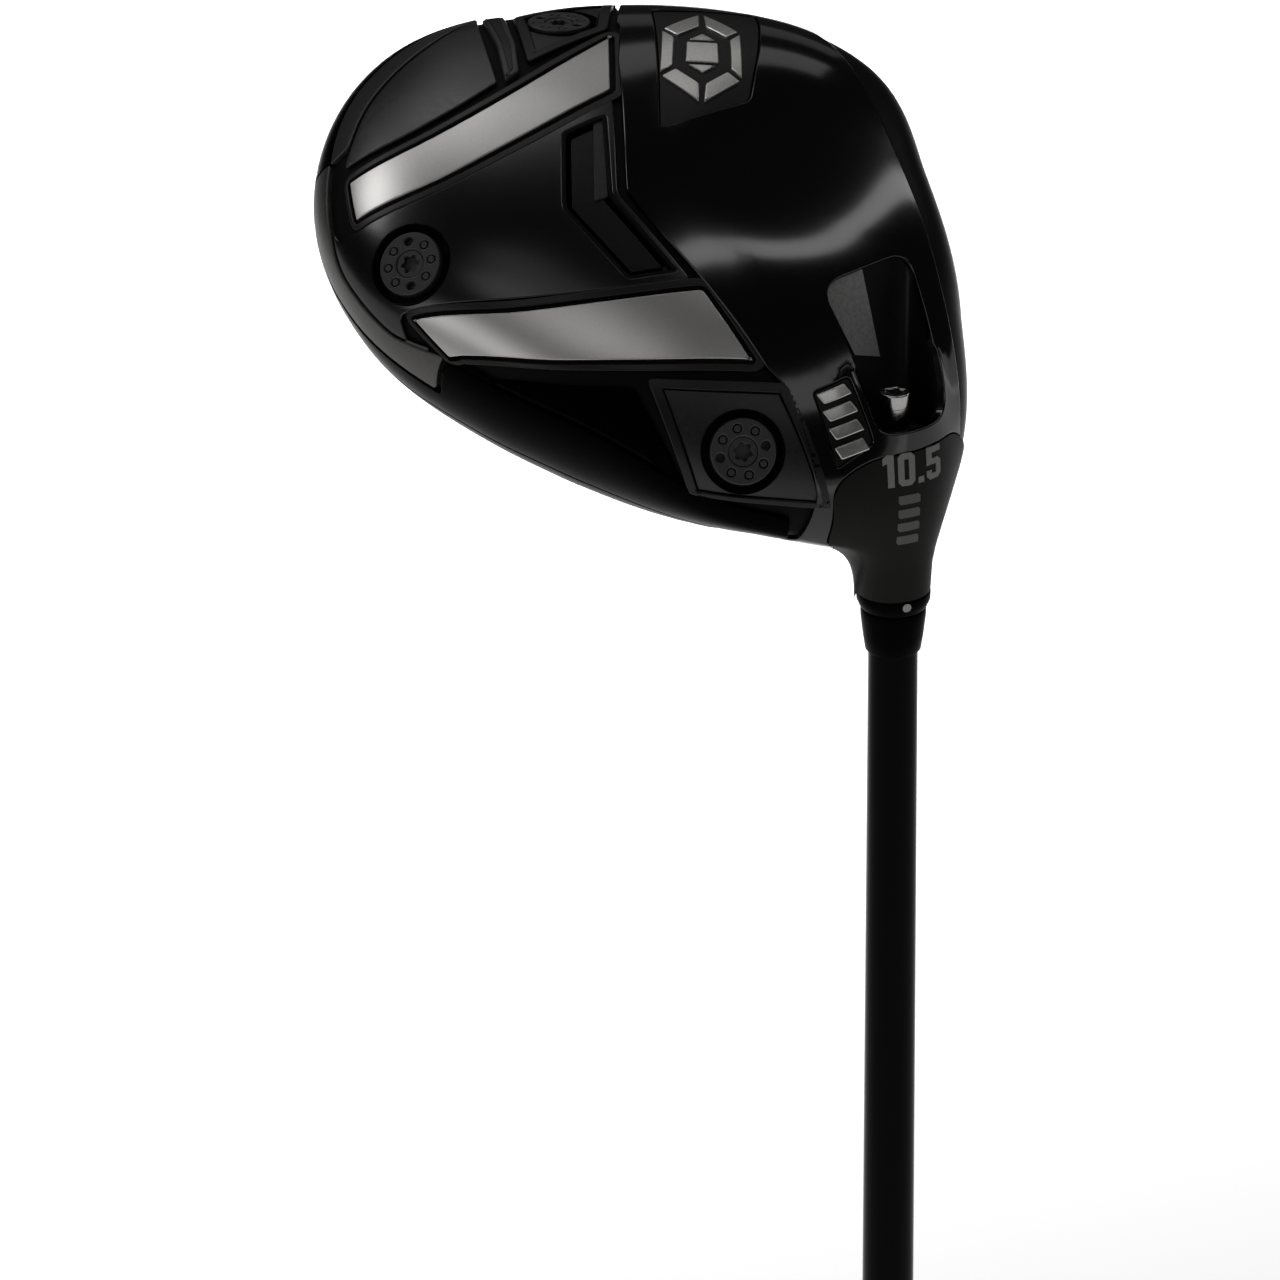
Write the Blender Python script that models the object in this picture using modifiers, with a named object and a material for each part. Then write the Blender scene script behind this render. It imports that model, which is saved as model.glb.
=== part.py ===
"""Golf driver: a hollow 460 cc class head on a graphite shaft with a rubber grip.

The club stands as it does in a bag, grip down. The world origin is the centre of the flat end of
the grip cap, +Z runs up the shaft to the head, +X is the way that the face points, and +Y is the
toe side. The head is drawn in its address frame: x from heel to toe, y towards the target, z up,
with its origin where the shaft axis meets the ground. "Level" is the distance from that origin
along the shaft axis, towards the grip. All sizes are in millimetres until they reach a mesh.
"""

import math

import bmesh
import bpy
from mathutils import Matrix, Vector

MM = 0.001
GAP = 0.3

# Whole club
CLUB_LENGTH = 1155.7
LIE = math.radians(59.0)
LOFT = math.radians(10.5)

# Head form: a closed skin in polar form about a vertical line through HEAD_CENTRE
HEAD_CENTRE = (38.0, -28.0)
OUTLINE_RADII = (62.5, 62.5, 59.0, 51.0, 56.0, 68.5, 58.0, 46.5, 46.0, 54.0, 61.0, 65.0)
EQUATOR_HEIGHTS = (29.0, 27.0, 23.0, 22.0, 26.5, 31.5, 25.5, 21.0, 22.5, 23.5, 26.5, 27.5)
SHOULDER_DROOP = 0.65
SHOULDER_ANGLE = math.radians(172.0)
SHOULDER_SPREAD = math.radians(45.0)
CROWN_TOP = 58.0
SOLE_BOTTOM = 0.5
ROUND_EXPONENT = 2.1
FACE_EXPONENT_GAIN = 5.5
FACE_PIVOT_HEIGHT = 30.0
SKIN_COLUMNS = 40
SKIN_ROWS = 14

# Head shell
WALL = 1.8
FACE_WALL = 2.6
INLAY = 0.8
WINDOW_SHARE = 0.82
FACE_SEAM = 16.0
CROWN_EDGE = 0.93
CROWN_FRONT = -1.0

# Hosel, levels along the shaft axis
HOSEL_TOP = 50.0
HOSEL_RADIUS = 6.6
HOSEL_FILLET = 5.0
BORE_RADIUS = 5.55
BORE_BOTTOM = 24.5
BOLT_HOLE_RADIUS = 2.85
HOSEL_ROOT_LEVEL = 36.5
HOSEL_ROOT_WIDENING = 2.8
FILLET_END = 4.0
FILLET_REACH = 0.9
FILLET_STEPS = 4
HOSEL_RIM_CHAMFER = 0.55

# Hosel pocket, which runs from the sole to the bolt's seat
POCKET_FLOOR = 21.0
POCKET_WALL = 1.6
POCKET_MOUTH_LEVEL = -10.0
POCKET_HALF_FLOOR = 6.6
POCKET_HALF_MOUTH = (9.9, 14.4)
POCKET_MOUTH_CENTRE = 7.6
POCKET_SQUARENESS = 0.8
POCKET_SIDES = 24

# Adapter, ring and ferrule
SLEEVE_RADIUS = 5.25
SLEEVE_BORE = 4.55
SLEEVE_THREAD_BORE = 2.75
SLEEVE_SOLID = 9.0
RING_HEIGHT = 3.1
RING_RADII = (6.45, 6.0, 5.8)
RING_STEPS = (0.9, 1.4)
FERRULE_LENGTH = 7.9
FERRULE_RADII = (5.75, 5.1, 4.9)

# Hosel bolt
BOLT_RADIUS = 2.45
BOLT_HEAD_RADIUS = 2.7
BOLT_HEAD_HEIGHT = 6.6
BOLT_LENGTH = 12.5
BOLT_SOCKET = (2.0, 1.45)
BOLT_SOCKET_DEPTH = 3.2
BOLT_HEAD_CHAMFER = 0.3
BOLT_TIP_CHAMFER = 0.6
WASHER_THICKNESS = 0.7
WASHER_RADIUS = 4.2

# Sole weights: place on the sole, in the address frame
WEIGHTS = {"rear": (36.8, -74.5), "heel": (-12.6, -29.5), "toe": (87.0, -31.0)}
WEIGHT_RECESS_RADIUS = 7.3
WEIGHT_RECESS_DEPTH = 3.3
WEIGHT_BOSS_RADIUS = 9.0
WEIGHT_BOSS_DEPTH = 10.5
WEIGHT_HOLE_RADIUS = 4.3
WEIGHT_HOLE_DEPTH = 9.2
WEIGHT_HEAD_RADIUS = 5.75
WEIGHT_HEAD_HEIGHT = 2.0
WEIGHT_SHANK_RADIUS = 4.0
WEIGHT_LENGTH = 8.6
WEIGHT_SOCKET = (2.3, 1.7)
WEIGHT_SOCKET_DEPTH = 1.8
WEIGHT_HEAD_CHAMFER = 0.4
WEIGHT_TIP_CHAMFER = 0.6
SOCKET_LOBES = 6
SEAL_THICKNESS = 0.7

# Shaft and grip, heights above the grip cap's end
SHAFT_TIP_RADIUS = 4.25
SHAFT_NECK_RADIUS = 4.45
SHAFT_BUTT_RADIUS = 7.6
SHAFT_WALL = 1.2
SHAFT_BUTT_END = 6.0
SHAFT_TAPER_START = 200.0
SHAFT_TAPER_END = 1091.7
SHAFT_STATIONS = (500.0, 800.0)
SHAFT_STEP_LEVEL = 53.0
TIP_PLUG_LENGTH = 6.0
GRIP_START = 4.3
GRIP_END = 267.0
GRIP_BUTT_RADIUS = 13.4
GRIP_MOUTH_RADIUS = 8.9
GRIP_TAPER_POWER = 0.75
GRIP_SECTIONS = 9
TAPE_THICKNESS = 0.4
TAPE_END_GAP = 12.0
CAP_RADIUS = 13.6
CAP_EDGE = ((13.6, 1.6), (13.1, 0.5), (12.0, 0.0))
CAP_SPIGOT_LENGTH = 8.0

TURNED_STEPS = 24


def world_height(level):
    """Height above the grip cap of a level on the shaft axis."""
    return CLUB_LENGTH - level


# ---------------------------------------------------------------- scene helpers


def clear_scene():
    for obj in list(bpy.data.objects):
        bpy.data.objects.remove(obj, do_unlink=True)


def new_collection(name):
    collection = bpy.data.collections.new(name)
    bpy.context.scene.collection.children.link(collection)
    return collection


def new_material(name, colour, roughness, metallic):
    material = bpy.data.materials.new(name)
    material.use_nodes = True
    shader = material.node_tree.nodes["Principled BSDF"]
    shader.inputs["Base Color"].default_value = (*colour, 1.0)
    shader.inputs["Roughness"].default_value = roughness
    shader.inputs["Metallic"].default_value = metallic
    return material


def add_object(name, bm, frame, collection, material=None):
    """A mesh object from a bmesh drawn in millimetres, parented to its frame."""
    bmesh.ops.scale(bm, vec=(MM, MM, MM), verts=bm.verts)
    mesh = bpy.data.meshes.new(name)
    bm.to_mesh(mesh)
    bm.free()
    obj = bpy.data.objects.new(name, mesh)
    collection.objects.link(obj)
    obj.parent = frame
    if material:
        mesh.materials.append(material)
        mesh.shade_smooth()
        mesh.set_sharp_from_angle(angle=math.radians(35.0))
    else:
        obj.hide_render = True
        obj.display_type = "WIRE"
    return obj


def add_frame(name, matrix, collection, parent=None):
    frame = bpy.data.objects.new(name, None)
    collection.objects.link(frame)
    frame.parent = parent
    frame.matrix_local = matrix
    return frame


def boolean(obj, other, operation):
    modifier = obj.modifiers.new(f"{operation.lower()}_{other.name}", "BOOLEAN")
    modifier.operation = operation
    modifier.object = other


def cut(obj, *cutters):
    for cutter in cutters:
        boolean(obj, cutter, "DIFFERENCE")


def turned(name, profile, frame, collection, material=None, steps=TURNED_STEPS):
    """A turned piece. The profile's (radius, height) points run down its outer side."""
    bm = bmesh.new()
    points = [bm.verts.new((radius, 0.0, height)) for radius, height in profile]
    closed = profile[0][0] > 0.0
    for start, end in zip(points, points[1:]):
        bm.edges.new((start, end))
    if closed:
        bm.edges.new((points[-1], points[0]))
    obj = add_object(name, bm, frame, collection, material)
    screw = obj.modifiers.new("turn", "SCREW")
    screw.steps = steps
    screw.render_steps = steps
    screw.use_merge_vertices = True
    screw.merge_threshold = 0.000001
    screw.use_smooth_shade = True
    return obj


def tube_profile(outer, inner, low, high):
    return [(outer, high), (outer, low), (inner, low), (inner, high)]


def rod_profile(radius, low, high):
    return [(0.0, high), (radius, high), (radius, low), (0.0, low)]


def prism(name, outline, low, high, frame, collection):
    """A cutter with a flat outline in its frame's XY plane, from low to high."""
    bm = bmesh.new()
    bottom = bm.faces.new([bm.verts.new((x, y, low)) for x, y in outline])
    top = bmesh.ops.extrude_face_region(bm, geom=[bottom])["geom"]
    raised = [item for item in top if isinstance(item, bmesh.types.BMVert)]
    bmesh.ops.translate(bm, vec=(0.0, 0.0, high - low), verts=raised)
    bmesh.ops.recalc_face_normals(bm, faces=bm.faces)
    return add_object(name, bm, frame, collection)


def inset_outline(outline, distance):
    """The outline moved inwards by a distance, with sharp corners kept."""
    points = [Vector(point) for point in outline]
    area = sum(a.x * b.y - b.x * a.y for a, b in zip(points, points[1:] + points[:1]))
    side = 1.0 if area > 0.0 else -1.0
    moved = []
    for before, here, after in zip(points[-1:] + points, points, points[1:] + points[:1]):
        into = (here - before).normalized()
        out = (after - here).normalized()
        normal_in = Vector((-into.y, into.x)) * side
        normal_out = Vector((-out.y, out.x)) * side
        bisector = (normal_in + normal_out).normalized()
        moved.append(tuple(here + bisector * (distance / bisector.dot(normal_in))))
    return moved


def shrunk_outline(outline, share):
    """The outline scaled about the mean of its points."""
    middle = sum((Vector(point) for point in outline), Vector((0.0, 0.0))) / len(outline)
    return [tuple(middle + (Vector(point) - middle) * share) for point in outline]


def star(lobes, outer, inner):
    """The outline of a lobed driver socket."""
    count = 2 * lobes
    radii = [outer if index % 2 == 0 else inner for index in range(count)]
    turns = [2.0 * math.pi * index / count for index in range(count)]
    return [(r * math.cos(turn), r * math.sin(turn)) for r, turn in zip(radii, turns)]


# ---------------------------------------------------------------- head form


def around(values, angle):
    """A smooth closed curve through equally spaced values, read at an angle."""
    count = len(values)
    place = angle / (2.0 * math.pi) * count
    index = math.floor(place)
    f = place - index
    a, b, c, d = (values[(index + step) % count] for step in (-1, 0, 1, 2))
    cubic = (3.0 * (b - c) + d - a) * f**3 + (2.0 * a - 5.0 * b + 4.0 * c - d) * f**2
    return 0.5 * (cubic + (c - a) * f + 2.0 * b)


def smooth_step(low, high, value):
    t = min(max((value - low) / (high - low), 0.0), 1.0)
    return t * t * (3.0 - 2.0 * t)


def crown_share(angle, reach):
    """How much of its height the crown keeps: its shoulder droops beside the hosel."""
    away = abs(math.remainder(angle - SHOULDER_ANGLE, 2.0 * math.pi))
    if away > SHOULDER_SPREAD:
        return 1.0
    droop = SHOULDER_DROOP * math.cos(away / SHOULDER_SPREAD * math.pi / 2.0) ** 2
    return 1.0 - droop * reach**4


def skin_point(tilt, angle):
    """A point of the head's skin. Tilt runs from 0 at the sole's pole to pi at the crown's."""
    reach = math.sin(tilt)
    equator = around(EQUATOR_HEIGHTS, angle)
    exponent = ROUND_EXPONENT + FACE_EXPONENT_GAIN * max(0.0, math.sin(angle)) ** 3
    fall = math.sqrt(max(0.0, 1.0 - reach**exponent))
    pole = SOLE_BOTTOM
    if tilt > math.pi / 2.0:
        pole = CROWN_TOP
        fall *= crown_share(angle, reach)
    z = equator + (pole - equator) * fall
    radius = reach * around(OUTLINE_RADII, angle)
    x = HEAD_CENTRE[0] + radius * math.cos(angle)
    y = HEAD_CENTRE[1] + radius * math.sin(angle)
    lean = smooth_step(0.35, 0.7, math.sin(angle)) * reach**4
    return Vector((x, y - lean * (z - FACE_PIVOT_HEIGHT) * math.tan(LOFT), z))


def skin_normal(tilt, angle):
    step = 0.002
    if tilt < step or tilt > math.pi - step:
        return Vector((0.0, 0.0, -1.0 if tilt < step else 1.0))
    along = skin_point(tilt + step, angle) - skin_point(tilt - step, angle)
    across = skin_point(tilt, angle + step) - skin_point(tilt, angle - step)
    return across.cross(along).normalized()


def sole_frame(x, y):
    """The frame of a place on the sole: its origin on the skin, its Z pointing out."""
    dx = x - HEAD_CENTRE[0]
    dy = y - HEAD_CENTRE[1]
    angle = math.atan2(dy, dx)
    tilt = math.asin(math.hypot(dx, dy) / around(OUTLINE_RADII, angle))
    out = skin_normal(tilt, angle)
    turn = out.to_track_quat("Z", "Y").to_matrix().to_4x4()
    return Matrix.Translation(skin_point(tilt, angle) * MM) @ turn


def head_skin(name, inset, frame, collection, material=None):
    """The closed head form, moved inwards by an inset."""
    bm = bmesh.new()
    turns = [2.0 * math.pi * column / SKIN_COLUMNS for column in range(SKIN_COLUMNS)]
    rows = []
    for row in range(1, SKIN_ROWS):
        tilt = math.pi * row / SKIN_ROWS
        points = [skin_point(tilt, turn) - skin_normal(tilt, turn) * inset for turn in turns]
        rows.append([bm.verts.new(point) for point in points])
    pole = Vector((*HEAD_CENTRE, 0.0))
    sole = bm.verts.new(pole + Vector((0.0, 0.0, SOLE_BOTTOM + inset)))
    crown = bm.verts.new(pole + Vector((0.0, 0.0, CROWN_TOP - inset)))
    for column in range(SKIN_COLUMNS):
        after = (column + 1) % SKIN_COLUMNS
        bm.faces.new((sole, rows[0][after], rows[0][column]))
        bm.faces.new((crown, rows[-1][column], rows[-1][after]))
        for low, high in zip(rows, rows[1:]):
            bm.faces.new((low[column], low[after], high[after], high[column]))
    bmesh.ops.recalc_face_normals(bm, faces=bm.faces)
    return add_object(name, bm, frame, collection, material)


def rim_arc(reach, first, last, step):
    """Plan points at a share of the outline's radius, from one angle to another in degrees."""
    count = round(abs(last - first) / step)
    points = []
    for index in range(count + 1):
        angle = math.radians(first + (last - first) * index / count)
        radius = reach * around(OUTLINE_RADII, angle)
        x = HEAD_CENTRE[0] + radius * math.cos(angle)
        points.append((x, HEAD_CENTRE[1] + radius * math.sin(angle)))
    return points


# ---------------------------------------------------------------- sole outlines, in plan

SOLE_LOW = -6.0
SOLE_HIGH = 21.0
CROWN_LOW = 32.5
CROWN_HIGH = 66.0

TOE_STRIP = [
    (60.9, -31.0),
    (77.4, -25.4),
    (66.7, -45.3),
    (60.6, -63.3),
    (59.4, -77.0),
    (50.2, -78.6),
    (49.8, -65.5),
    (54.0, -48.7),
]
HEEL_STRIP = [
    (15.0, -30.4),
    (0.4, -25.2),
    (4.4, -40.9),
    (10.8, -56.9),
    (18.4, -68.8),
    (26.4, -73.4),
    (21.5, -61.6),
    (17.3, -45.7),
]
CHEVRON = [(55.5, -33.5), (36.8, -38.8), (18.5, -33.0), (20.0, -42.0), (36.5, -48.2), (52.8, -43.0)]
EMBLEM = [(52.0, -24.0), (80.0, -15.0), (79.0, 0.0), (66.0, -3.0), (54.0, -8.0)]
TOE_PANEL = [(70.5, -49.0)] + rim_arc(0.94, 345.0, 300.0, 6.0)
HEEL_PANEL = [(2.2, -45.5), (4.6, -50.5)] + rim_arc(0.95, 197.0, 234.0, 6.0)


def crown_outline():
    """The crown panel's edge: round the back of the head, and straight behind the face."""
    return [(86.0, CROWN_FRONT), (-4.0, CROWN_FRONT)] + rim_arc(CROWN_EDGE, 188.0, 384.0, 9.0)


# ---------------------------------------------------------------- head


def pocket(name, spread, floor, frame, collection):
    """The hosel pocket's hollow: it narrows from the sole down to a round floor at the bolt."""
    bm = bmesh.new()
    rings = []
    for level, half_x, half_y, centre in (
        (floor, POCKET_HALF_FLOOR, POCKET_HALF_FLOOR, 0.0),
        (POCKET_MOUTH_LEVEL, *POCKET_HALF_MOUTH, POCKET_MOUTH_CENTRE),
    ):
        ring = []
        for index in range(POCKET_SIDES):
            turn = 2.0 * math.pi * index / POCKET_SIDES
            across = math.copysign(abs(math.cos(turn)) ** POCKET_SQUARENESS, math.cos(turn))
            along = math.copysign(abs(math.sin(turn)) ** POCKET_SQUARENESS, math.sin(turn))
            x = (half_x + spread) * across
            y = centre + (half_y + spread) * along
            ring.append(bm.verts.new((x, y, world_height(level))))
        rings.append(ring)
    bm.faces.new(reversed(rings[0]))
    bm.faces.new(rings[1])
    for index in range(POCKET_SIDES):
        after = (index + 1) % POCKET_SIDES
        bm.faces.new((rings[0][index], rings[0][after], rings[1][after], rings[1][index]))
    bmesh.ops.recalc_face_normals(bm, faces=bm.faces)
    return add_object(name, bm, frame, collection)


def hosel_profile():
    """The hosel's outside, flared by a fillet where it leaves the head."""
    root = world_height(HOSEL_ROOT_LEVEL)
    points = [(0.0, root), (HOSEL_RADIUS + HOSEL_ROOT_WIDENING, root)]
    for index in range(FILLET_STEPS + 1):
        drop = HOSEL_FILLET * FILLET_REACH * (1.0 - index / FILLET_STEPS)
        widening = HOSEL_FILLET - math.sqrt(HOSEL_FILLET**2 - drop**2)
        level = HOSEL_TOP - FILLET_END - drop
        points.append((HOSEL_RADIUS + widening, world_height(level)))
    points.append((HOSEL_RADIUS, world_height(HOSEL_TOP - HOSEL_RIM_CHAMFER)))
    points.append((HOSEL_RADIUS - HOSEL_RIM_CHAMFER, world_height(HOSEL_TOP)))
    points.append((0.0, world_height(HOSEL_TOP)))
    return points


class Head:
    """The head's shell, its panels and inlays, drawn in the address frame."""

    def __init__(self, frame, parts, cutters):
        self.frame = frame
        self.parts = parts
        self.cutters = cutters
        self.inlay_under = head_skin("under_inlays", INLAY, frame, cutters)
        self.recess_floor = head_skin("recess_floor", INLAY + GAP, frame, cutters)
        self.recesses = []

    def axis_rod(self, name, radius, low_level, high_level):
        profile = rod_profile(radius, world_height(high_level), world_height(low_level))
        return turned(name, profile, None, self.cutters)

    def inlay(self, name, outline, low, high, material, window=False):
        """A thin piece let into the shell, with its recess and, for a panel, a window behind."""
        fitted = inset_outline(outline, GAP)
        piece = head_skin(name, 0.0, self.frame, self.parts, material)
        cut(piece, self.inlay_under)
        edge = prism(f"{name}_edge", fitted, low, high, self.frame, self.cutters)
        boolean(piece, edge, "INTERSECT")
        recess = prism(f"{name}_recess", outline, low, high, self.frame, self.cutters)
        cut(recess, self.recess_floor)
        self.recesses.append(recess)
        if window:
            hole = shrunk_outline(outline, WINDOW_SHARE)
            self.recesses.append(
                prism(f"{name}_window", hole, low, high, self.frame, self.cutters)
            )
        return piece


def front_block(name, seam, frame, cutters):
    """Everything in front of the face seam, which leans back with the loft."""
    lean = math.tan(LOFT)
    low, high, front = -20.0, 80.0, 60.0
    heel, toe = -80.0, 160.0
    outline = [(seam - low * lean, low), (front, low), (front, high), (seam - high * lean, high)]
    block = prism(name, outline, heel, toe, frame, cutters)
    # Its outline lies in the head's YZ plane, and it is extruded along the head's X.
    block.matrix_local = Matrix(((0, 0, 1, 0), (1, 0, 0, 0), (0, 1, 0, 0), (0, 0, 0, 1)))
    return block


def build_head(frame, parts, cutters, materials):
    head = Head(frame, parts, cutters)
    carbon = materials["carbon"]
    head.inlay("crown_panel", crown_outline(), CROWN_LOW, CROWN_HIGH, carbon, window=True)
    head.inlay("toe_sole_panel", TOE_PANEL, SOLE_LOW, SOLE_HIGH, carbon, window=True)
    head.inlay("heel_sole_panel", HEEL_PANEL, SOLE_LOW, SOLE_HIGH, carbon, window=True)
    head.inlay("toe_strip", TOE_STRIP, SOLE_LOW, SOLE_HIGH, materials["polished"])
    head.inlay("heel_strip", HEEL_STRIP, SOLE_LOW, SOLE_HIGH, materials["polished"])
    head.inlay("chevron_badge", CHEVRON, SOLE_LOW, SOLE_HIGH, materials["black"])
    head.inlay("sole_emblem", EMBLEM, SOLE_LOW, SOLE_HIGH, materials["polished"])

    chamber = head_skin("chamber", WALL, frame, cutters)
    pocket_block = pocket("pocket_block", POCKET_WALL, POCKET_FLOOR + 3.0, None, cutters)
    column = head.axis_rod("hosel_column", HOSEL_RADIUS + 0.3, POCKET_FLOOR - 1.0, HOSEL_TOP + 4.0)
    cut(chamber, pocket_block, column)
    drills = []
    for place, centre in WEIGHTS.items():
        seat = add_frame(f"{place}_weight_seat", sole_frame(*centre), parts, frame)
        boss = rod_profile(WEIGHT_BOSS_RADIUS, -WEIGHT_BOSS_DEPTH, 3.0)
        cut(chamber, turned(f"{place}_weight_boss", boss, seat, cutters))
        recess = [
            (0.0, 3.0),
            (WEIGHT_RECESS_RADIUS, 3.0),
            (WEIGHT_RECESS_RADIUS, -WEIGHT_RECESS_DEPTH),
            (WEIGHT_HOLE_RADIUS, -WEIGHT_RECESS_DEPTH),
            (WEIGHT_HOLE_RADIUS, -WEIGHT_HOLE_DEPTH),
            (0.0, -WEIGHT_HOLE_DEPTH),
        ]
        drills.append(turned(f"{place}_weight_recess", recess, seat, cutters))
        build_weight(place, seat, parts, cutters, materials)

    body = head_skin("sole_body", 0.0, frame, parts, materials["titanium"])
    hosel = turned("hosel_outside", hosel_profile(), None, cutters)
    boolean(body, hosel, "UNION")
    cut(body, chamber, front_block("behind_face", FACE_SEAM - GAP, frame, cutters))
    cut(body, pocket("hosel_pocket", 0.0, POCKET_FLOOR, None, cutters))
    cut(body, head.axis_rod("hosel_bore", BORE_RADIUS, BORE_BOTTOM, HOSEL_TOP + 5.0))
    cut(body, head.axis_rod("bolt_hole", BOLT_HOLE_RADIUS, POCKET_FLOOR - 5.0, BORE_BOTTOM + 5.0))
    cut(body, *drills, *head.recesses)

    face = head_skin("face_cup", 0.0, frame, parts, materials["face"])
    boolean(face, front_block("face_block", FACE_SEAM, frame, cutters), "INTERSECT")
    cut(face, head_skin("behind_face_plate", FACE_WALL, frame, cutters))
    cut(face, turned("face_hosel_clearance", tube_clearance(), None, cutters))


def tube_clearance():
    """Room for the hosel's flared root in the face cup's heel end."""
    radius = HOSEL_RADIUS + HOSEL_ROOT_WIDENING + 0.4
    return rod_profile(radius, world_height(HOSEL_TOP + 5.0), world_height(BORE_BOTTOM))


def build_weight(place, seat, parts, cutters, materials):
    """One sole weight with its seal, in the frame of its seat: Z = 0 is the skin of the sole."""
    head_low = -WEIGHT_HEAD_HEIGHT
    profile = [
        (0.0, 0.0),
        (WEIGHT_HEAD_RADIUS - WEIGHT_HEAD_CHAMFER, 0.0),
        (WEIGHT_HEAD_RADIUS, -WEIGHT_HEAD_CHAMFER),
        (WEIGHT_HEAD_RADIUS, head_low),
        (WEIGHT_SHANK_RADIUS, head_low),
        (WEIGHT_SHANK_RADIUS, WEIGHT_TIP_CHAMFER - WEIGHT_LENGTH),
        (WEIGHT_SHANK_RADIUS - WEIGHT_TIP_CHAMFER, -WEIGHT_LENGTH),
        (0.0, -WEIGHT_LENGTH),
    ]
    weight = turned(f"{place}_weight", profile, seat, parts, materials["tungsten"])
    socket = star(SOCKET_LOBES, *WEIGHT_SOCKET)
    cut(weight, prism(f"{place}_weight_socket", socket, -WEIGHT_SOCKET_DEPTH, 1.0, seat, cutters))
    top = head_low - GAP
    seal = tube_profile(WEIGHT_HEAD_RADIUS, WEIGHT_SHANK_RADIUS + GAP, top - SEAL_THICKNESS, top)
    turned(f"{place}_weight_seal", seal, seat, parts, materials["rubber"])


# ---------------------------------------------------------------- hosel bolt and adapter


def build_bolt(parts, cutters, materials):
    washer_top = POCKET_FLOOR - GAP
    washer_low = washer_top - WASHER_THICKNESS
    under_head = washer_low - GAP
    head_end = under_head - BOLT_HEAD_HEIGHT
    tip = under_head + BOLT_LENGTH
    profile = [
        (0.0, world_height(head_end)),
        (BOLT_HEAD_RADIUS - BOLT_HEAD_CHAMFER, world_height(head_end)),
        (BOLT_HEAD_RADIUS, world_height(head_end + BOLT_HEAD_CHAMFER)),
        (BOLT_HEAD_RADIUS, world_height(under_head)),
        (BOLT_RADIUS, world_height(under_head)),
        (BOLT_RADIUS, world_height(tip - BOLT_TIP_CHAMFER)),
        (BOLT_RADIUS - BOLT_TIP_CHAMFER, world_height(tip)),
        (0.0, world_height(tip)),
    ]
    bolt = turned("hosel_bolt", profile, None, parts, materials["polished"])
    socket_top = world_height(head_end) + 1.0
    socket_low = world_height(head_end + BOLT_SOCKET_DEPTH)
    outline = star(SOCKET_LOBES, *BOLT_SOCKET)
    socket = prism("bolt_socket", outline, socket_low, socket_top, None, cutters)
    cut(bolt, socket)
    ring = tube_profile(
        WASHER_RADIUS, BOLT_RADIUS + GAP, world_height(washer_top), world_height(washer_low)
    )
    turned("bolt_washer", ring, None, parts, materials["rubber"])


def build_adapter(parts, materials):
    sleeve_low = BORE_BOTTOM + GAP
    sleeve_end = HOSEL_TOP + GAP + RING_HEIGHT
    solid_end = sleeve_low + SLEEVE_SOLID
    sleeve = [
        (SLEEVE_RADIUS, world_height(sleeve_low)),
        (SLEEVE_RADIUS, world_height(sleeve_end)),
        (SLEEVE_BORE, world_height(sleeve_end)),
        (SLEEVE_BORE, world_height(solid_end)),
        (SLEEVE_THREAD_BORE, world_height(solid_end)),
        (SLEEVE_THREAD_BORE, world_height(sleeve_low)),
    ]
    turned("adapter_sleeve", sleeve, None, parts, materials["aluminium"])
    ring_low = HOSEL_TOP + GAP
    ring = [
        (RING_RADII[0], world_height(ring_low)),
        (RING_RADII[0], world_height(ring_low + RING_STEPS[0])),
        (RING_RADII[1], world_height(ring_low + RING_STEPS[1])),
        (RING_RADII[2], world_height(sleeve_end)),
        (SLEEVE_RADIUS + GAP, world_height(sleeve_end)),
        (SLEEVE_RADIUS + GAP, world_height(ring_low)),
    ]
    turned("index_ring", ring, None, parts, materials["black"])
    ferrule_low = sleeve_end + GAP
    ferrule_end = ferrule_low + FERRULE_LENGTH
    ferrule = [
        (FERRULE_RADII[0], world_height(ferrule_low)),
        (FERRULE_RADII[1], world_height(ferrule_end - 0.5)),
        (FERRULE_RADII[2], world_height(ferrule_end)),
        (SHAFT_NECK_RADIUS + GAP, world_height(ferrule_end)),
        (SHAFT_NECK_RADIUS + GAP, world_height(ferrule_low)),
    ]
    turned("ferrule", ferrule, None, parts, materials["black"])


# ---------------------------------------------------------------- shaft and grip


def grip_radius(height):
    """The grip's outer radius, thicker at the cap."""
    share = min(max((height - GRIP_START) / (GRIP_END - GRIP_START), 0.0), 1.0)
    return GRIP_BUTT_RADIUS + (GRIP_MOUTH_RADIUS - GRIP_BUTT_RADIUS) * share**GRIP_TAPER_POWER


def shaft_radius(height):
    """The shaft's outer radius: parallel under the grip, then an even taper to the neck."""
    share = (height - SHAFT_TAPER_START) / (SHAFT_TAPER_END - SHAFT_TAPER_START)
    share = min(max(share, 0.0), 1.0)
    return SHAFT_BUTT_RADIUS + (SHAFT_NECK_RADIUS - SHAFT_BUTT_RADIUS) * share


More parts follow.
